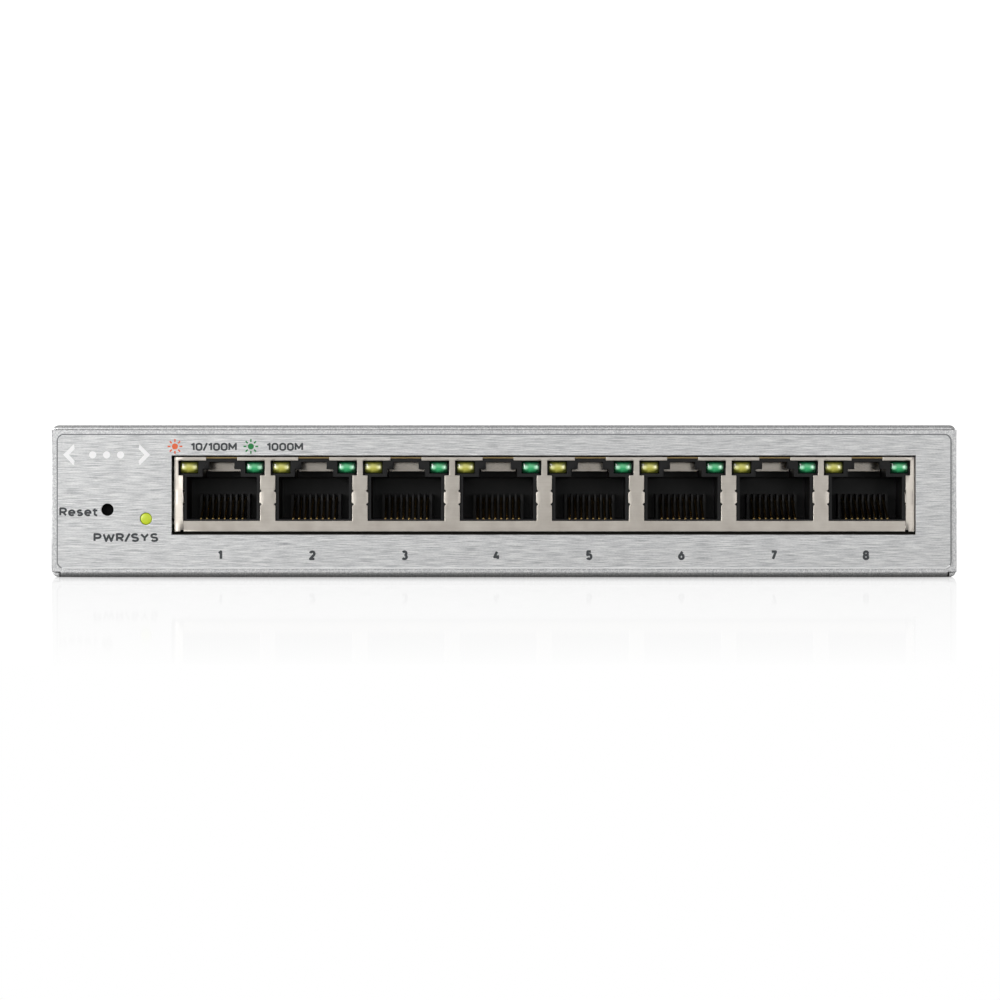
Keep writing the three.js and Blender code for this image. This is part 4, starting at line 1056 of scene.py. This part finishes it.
def make_legends():
    """Port numbers, lamp keys and the two small legends, at their heights on the label."""
    left = -SIDE
    number_low, number_high, stroke = 2.86, 4.56, 0.44
    for i, x in zip(PORTS, PORT_X):
        half = (GLYPHS[str(i)][0] * (number_high - number_low - stroke) + stroke) / 2
        middle = x - 0.24
        ends = (middle - half, middle + half, number_low, number_high)
        legend(f"number_{i}", str(i), *ends, GREY_INK, stroke)
    key_low, key_high = 21.57, 22.97
    legend("key_slow", "10/100M", left + 23.8, left + 31.75, key_low, key_high, GREY_INK, 0.33)
    legend("key_fast", "1000M", left + 36.8, left + 43.1, key_low, key_high, GREY_INK, 0.33)
    legend("reset_legend", "Reset", left + 1.35, left + 8.0, 10.38, 11.9, GREY_INK, 0.34)
    legend("status_legend", "PWR/SYS", left + 7.2, left + 18.3, 5.98, 7.5, GREY_INK, 0.37)
    burst("key_slow_mark", left + 21.15, 22.34, ORANGE_INK)
    burst("key_fast_mark", left + 34.15, 22.34, GREEN_INK)
    link_mark("wired_mark", left + 2.0, left + 16.9, 19.1, 22.7, WHITE_INK)


# ------------------------------------------------------------------ jacks

PLATE = 0.3
SHIELD_BEND = 0.2
CORNER_NICK_IN = 1.3
BELOW_BOARD = 0.1
COLUMN = 1.45
COLUMN_LEAN = 0.12
CREASE = 0.04
BAND_GAP = 0.97
CONTACT_PITCH = 1.016
MOUTH_HALF = 6.6
MOUTH_LOW = 1.8
BAND_LOW = 9.6
BAND_HIGH = 12.1
NOTCH_HALF = 2.65
NICK = 0.28
NICK_HEIGHTS = (4.65, 6.9)


def make_shield_front():
    """The plated front: a sheet with eight windows, folded back at both ends, and its roof."""
    low, high = SHIELD_LOW, SHIELD_HIGH
    deep = high[1] - low[1]
    fold = Fold(
        [(low[0], low[1] + deep), (low[0], low[1]), (high[0], low[1]), (high[0], low[1] + deep)],
        [SHIELD_BEND, SHIELD_BEND],
    )
    along = lambda x: fold.at(1, x - low[0])
    band_half = (PORT_PITCH - BAND_GAP) / 2
    u_marks = [
        along(x + side * reach)
        for x in PORT_X
        for side in SIDES
        for reach in (NOTCH_HALF, MOUTH_HALF, MOUTH_HALF + 0.45, band_half)
    ]
    relief = [
        along(middle + d)
        for reach, half in ((CORNER_NICK_IN, NICK), (COLUMN, CREASE))
        for middle in (low[0] + reach, high[0] - reach)
        for d in (-half, half)
    ]
    foot = low[2] - BELOW_BOARD
    v_marks = [foot, foot + NICK, low[2], high[2]]
    v_marks += [BOARD_TOP + z for z in (MOUTH_LOW, BAND_LOW, BAND_HIGH)]
    v_marks += [BOARD_TOP + z + d for z in NICK_HEIGHTS for d in (-NICK, 0, NICK)]
    us = lines([*fold.marks, *u_marks, *relief], [], 0)
    vs = lines(v_marks, [], 1)

    def place(points):
        x, y = fold.place(points[:, 0], points[:, 2]).T
        return np.column_stack([x, y, points[:, 1]])

    def keep(x, y, z):
        away = np.abs(x[:, None] - np.array(PORT_X)).min(1)
        up = z - BOARD_TOP
        mouth = (away < MOUTH_HALF) & (up > MOUTH_LOW) & (up < BAND_LOW)
        band = (away < band_half) & (up > BAND_LOW) & (up < BAND_HIGH)
        notch = (away < NOTCH_HALF) & (up > BAND_HIGH)
        nick_x = (low[0] + CORNER_NICK_IN, high[0] - CORNER_NICK_IN)
        ends = np.abs(x[:, None] - np.array(nick_x)).min(1)
        front = y < low[1] + 0.05
        corner = (ends < NICK) & (z < foot + NICK) & front
        below = (z < low[2]) & (y > low[1] + PLATE)
        return ~((mouth | band | notch) & front) & ~corner & ~below

    def adjust(points):
        """Beside each mouth the grounding tab leans in, with a small nick above and below it.

        The outer columns of the end jacks lean back evenly, 0.12 mm for each millimetre.
        """
        made = points.copy()
        inside = np.minimum(made[:, 0] - along(low[0]), along(high[0]) - made[:, 0])
        made[:, 2] += COLUMN_LEAN * np.clip(COLUMN - inside, 0, COLUMN) * (inside > 0)
        for x in PORT_X:
            for side in SIDES:
                at_edge = np.abs(made[:, 0] - along(x + side * MOUTH_HALF)) < 1e-3
                up = made[:, 1] - BOARD_TOP
                tab = at_edge & (up > NICK_HEIGHTS[0] + 0.1) & (up < NICK_HEIGHTS[1] - 0.1)
                nick = at_edge & (np.abs(up[:, None] - np.array(NICK_HEIGHTS)).min(1) < 0.01)
                made[tab, 0] -= side * 0.12
                made[tab, 2] += 0.08
                made[nick, 0] += side * NICK
        return made

    wrap = wrapped(us, vs, place, keep, PLATE, adjust=adjust)
    roof = wrapped(
        lines([low[0] + PLATE, high[0] - PLATE], [], 0),
        lines([low[1] + PLATE, high[1]], [], 1),
        lambda p: np.column_stack([p[:, 0], p[:, 1], high[2] - p[:, 2]]),
        lambda x, *_: x < 1e9,
        PLATE,
    )
    made = piece(
        "shield_front",
        together(wrap, roof),
        [TIN, BRONZE],
        replaces=["jack_front_shield"],
        slot="shield_plating",
        bevel=0.07,
    )
    points, faces = roof
    sheared = (points[faces][:, :, 1] < low[1] + PLATE + 1e-3).all(1)
    index = np.concatenate([np.zeros(len(wrap[1]), int), sheared * 1]).astype(np.int32)
    made.data.polygons.foreach_set("material_index", index)


def swept_wire(path, wide, thick):
    """A flat wire with rounded edges along a path in Y and Z, centred on x = 0.

    The section at angle t is half the width times cos t across and half the thickness
    times sin t, each raised to a power below one, which squares the ellipse.
    """
    t = np.linspace(0, 2 * math.pi, 12, endpoint=False)
    soft = lambda v: np.sign(v) * np.abs(v) ** 0.6
    across, rise = wide / 2 * soft(np.cos(t)), thick / 2 * soft(np.sin(t))
    way = np.gradient(path, axis=0)
    way /= np.linalg.norm(way, axis=1)[:, None]
    normal = np.stack([-way[:, 1], way[:, 0]], 1)
    y = path[:, 0][:, None] + normal[:, 0][:, None] * rise
    z = path[:, 1][:, None] + normal[:, 1][:, None] * rise
    points = np.stack([np.broadcast_to(across, y.shape), y, z], 2).reshape(-1, 3)
    rows, columns = y.shape
    faces = ring_faces(rows, columns).tolist()
    faces.append(list(range(columns))[::-1])
    faces.append(list(range((rows - 1) * columns, rows * columns)))
    return points, [face[::-1] for face in faces]


def make_contacts():
    """Eight gold wires in each jack: a hairpin at the front, a long rise and a curved tip."""
    root = np.array([0.9, 1.98])
    end = np.array([9.9, 5.6])
    rise = math.atan2(*(end - root)[::-1])
    pin_r = 0.34
    way = np.array([math.cos(rise), math.sin(rise)])
    left = np.array([-way[1], way[0]])
    hairpin = [
        root + pin_r * (-math.sin(a) * way + math.cos(a) * left) for a in np.linspace(2.6, 0, 12)
    ]
    length = np.linalg.norm(end - root)
    straight = [root + pin_r * left + way * s for s in np.linspace(0.4, length - 1.2, 8)]
    tip = [
        root + pin_r * left + way * (length - 1.2 + s) - left * 0.12 * s**2
        for s in np.linspace(0.25, 1.2, 5)
    ]
    path = np.array([*hairpin, *straight, *tip])
    wire, faces = swept_wire(path, 0.36, 0.24)
    for i, x in zip(PORTS, PORT_X):
        wires_x = [x + (k - 3.5) * CONTACT_PITCH for k in range(8)]
        points = np.concatenate([wire + (at, JACK_FRONT, BOARD_TOP) for at in wires_x])
        every = [[v + n * len(wire) for v in face] for n in range(8) for face in faces]
        piece(
            f"port_{i}_wires",
            (points, every),
            GOLD,
            body=f"port_{i}_contacts",
            replaces=[f"port_{i}_contacts"],
            slot="contact_gold",
        )


def make_lamps():
    """Each port lamp: a rounded rectangular lens, crowned at the front and straight behind."""
    for i in PORTS:
        for where, material, slot in (
            ("left", YELLOW_LENS, "lamp_yellow_green"),
            ("right", GREEN_LENS, "lamp_green"),
        ):
            node = f"port_{i}_{where}_lamp"
            low, high = corners_of(node)
            middle, half = (low + high) / 2, (high - low) / 2
            radius, crown = 0.4, 0.28
            corner = np.linspace(0, radius, 5)
            us, vs = (
                lines([*(corner - h), *(h - corner), *np.linspace(-share, share, count) * h], [], 0)
                for h, share, count in ((half[0], 0.8, 7), (half[2], 0.6, 5))
            )
            kept = np.ones((len(us) - 1, len(vs) - 1), bool)
            flat, faces = flat_pattern(us, vs, kept)
            flat = rounded_corners(flat, -half[[0, 2]], half[[0, 2]], radius)

            def place(points, low=low, high=high, middle=middle, half=half):
                """The front bows out by the crown times (1 - p^4)(1 - q^4)."""
                p, q = points[:, 0] / half[0], points[:, 1] / half[2]
                bow = crown * (1 - np.clip(1 - (1 - p**4) * (1 - q**4), 0, 1))
                y = np.where(points[:, 2] > 0, high[1], low[1] + crown - bow)
                return np.column_stack([middle[0] + points[:, 0], y, middle[2] + points[:, 1]])

            mesh_data = thickened(flat, faces, place, 1.0)
            spread = np.concatenate([flat, flat])[:, :2] / half[[0, 2]]
            more = {"replaces": [node], "slot": slot, "bevel": 0.06, "uv": spread}
            piece(f"port_{i}_{where}_lens", mesh_data, material, **more)


# ------------------------------------------------------------------ small parts


def screw_head(radius, crown, cone):
    """A screw's head and shank about +Z, its head's top at z = 0 or above.

    The top is a polar grid: height is crown times (1 - (r/R)^2), less the recess, which falls
    where the distance to either arm of the cross is under its half width.
    """
    rings, sides = 22, 96
    r = np.linspace(0.02, 1, rings) * (radius - 0.12)
    angle = np.linspace(0, 2 * math.pi, sides, endpoint=False)
    rr, aa = np.meshgrid(r, angle, indexing="ij")
    x, y = rr * np.cos(aa), rr * np.sin(aa)
    across, along = np.abs(x), np.abs(y)
    one_arm, other_arm = (
        np.maximum(far - 1.5, near - 0.32) for far, near in ((across, along), (along, across))
    )
    arm = np.minimum(one_arm, other_arm)
    depth = 1.0 * np.clip(0.5 - arm / 0.14, 0, 1)
    z = crown * (1 - (rr / radius) ** 2) - depth
    top = np.stack([x, y, z], 2).reshape(-1, 3)
    faces = ring_faces(rings, sides)[:, [0, 3, 2, 1]]
    edge = crown * (1 - ((radius - 0.12) / radius) ** 2)
    skirt, skirt_faces = turned([(radius - 0.12, edge), (radius, edge - 0.1), *cone], sides)
    return together((top, faces), (skirt, skirt_faces[:, ::-1]))


def make_screws():
    """Countersunk cross-recessed screws in the cover's sides, and pan heads on the board."""
    flush = screw_head(2.75, 0.06, [(2.72, -0.25), (1.4, -1.5), (1.4, -4.9), (0.01, -4.9)])
    pan = screw_head(2.75, 0.55, [(2.75, -1.35), (1.4, -1.35), (1.4, -5.0), (0.01, -5.0)])
    finish = {"material": ZINC, "slot": "screw_steel"}
    for i, middle in enumerate(COVER_SCREWS, 1):
        side = np.sign(middle[0])
        head = np.array([side * (SIDE - 0.1), middle[1], middle[2]])
        mesh_data = turned_towards(flush[0], (side, 0, 0), head), flush[1]
        piece(f"cover_screw_{i}_zinc", mesh_data, replaces=[f"cover_screw_{i}"], **finish)
    for i, middle in enumerate(POSTS, 1):
        top = np.array([*middle[:2], corners_of(f"board_screw_{i}")[1][2] - 0.55])
        mesh_data = pan[0] + top, pan[1]
        piece(f"board_screw_{i}_zinc", mesh_data, replaces=[f"board_screw_{i}"], **finish)


def dome(radius, rise, start, count):
    """The profile of a rounded end: its top is at z = 0 and its foot at the radius."""
    angles = np.linspace(start, math.pi / 2, count)
    return [(radius * math.sin(a), -rise * (1 - math.cos(a))) for a in angles]


def make_status_lamp():
    """A round lens, slightly domed and flush with the label."""
    low, high = corners_of("status_lamp")
    nose, body = 0.95, (high[0] - low[0]) / 2
    reach = high[1] - low[1]
    tip = dome(nose, 0.16, 0.01, 10)
    profile = [*tip, (nose, -3.6), (body, -3.65), (body, -reach), (0.01, -reach)]
    points, faces = turned(profile, 64)
    points = turned_towards(points, (0, -1, 0), (STATUS[0], FACE, STATUS[2]))
    mesh_data = points, faces[:, ::-1]
    piece("status_lens", mesh_data, LIME, replaces=["status_lamp"], slot="status_lime")


def make_inlet_pin():
    """The power inlet's centre pin, its tip rounded to 0.6 of its radius."""
    pin_low, pin_high = corners_of("power_inlet_pin")
    pin = (pin_high[0] - pin_low[0]) / 2
    reach = pin_high[1] - pin_low[1]
    tip = dome(pin, 0.6 * pin, 0.02, 8)
    points, faces = turned([*tip, (pin, -reach), (0.01, -reach)], 40)
    points = turned_towards(points, (0, 1, 0), (INLET[0], pin_high[1], INLET[2]))
    mesh_data = points, faces[:, ::-1]
    piece("inlet_pin", mesh_data, ZINC, replaces=["power_inlet_pin"], slot="screw_steel")


def make_capacitor():
    """An aluminium electrolytic can in a shrunk sleeve, with a rolled groove and a sunken top."""
    low, high = corners_of("capacitor")
    r, tall = (high[0] - low[0]) / 2, high[2] - low[2]
    groove = [(r - 0.35 * math.sin(a), 1.2 + 0.8 * a / math.pi) for a in np.linspace(0, math.pi, 9)]
    profile = [
        (0.01, 0),
        (r - 0.15, 0),
        (r, 0.15),
        *groove,
        (r, tall - 0.4),
        (r - 0.35, tall),
        (r - 0.8, tall - 0.12),
        (0.01, tall - 0.12),
    ]
    points, faces = turned(profile, 56)
    middle = (low + high) / 2
    points = points + (middle[0], middle[1], low[2])
    piece("capacitor_can", (points, faces), SLEEVE, replaces=["capacitor"], slot="can_sleeve")


def dress_nodes():
    """The nodes whose CAD shape is right keep it, with fine edges and their own finish."""
    for node, material, bevel in (
        *[(f"port_{i}_housing", BLACK, 0.06) for i in PORTS],
        *[(f"transformer_{i}", EPOXY, 0.2) for i in range(1, 5)],
        ("jack_rear_shield", BRIGHT_TIN, 0.04),
        ("status_lamp_holder", BLACK, 0.1),
        ("reset_switch", BLACK, 0.1),
        ("reset_button", BLACK, 0.08),
        ("power_inlet", BLACK, 0.08),
        ("power_inlet_leaf", ZINC, 0.03),
        ("switch_chip", EPOXY, 0.15),
        ("heat_sink", ANODISED, 0.1),
    ):
        keep_node(node, material, bevel)
    board = keep_node("main_board", MASK)
    # Its sides, which face neither up nor down, get the near-black painted shade.
    board.data.materials.append(BOARD_EDGE_PAINTED_SHADE)
    up = np.zeros(3 * len(board.data.polygons))
    board.data.polygons.foreach_get("normal", up)
    cut = np.abs(up.reshape(-1, 3)[:, 2]) < 0.5
    board.data.polygons.foreach_set("material_index", cut.astype(np.int32))


make_bottom()
make_cover()
make_label()
make_legends()
make_shield_front()
make_contacts()
make_lamps()
make_screws()
make_status_lamp()
make_inlet_pin()
make_capacitor()
dress_nodes()
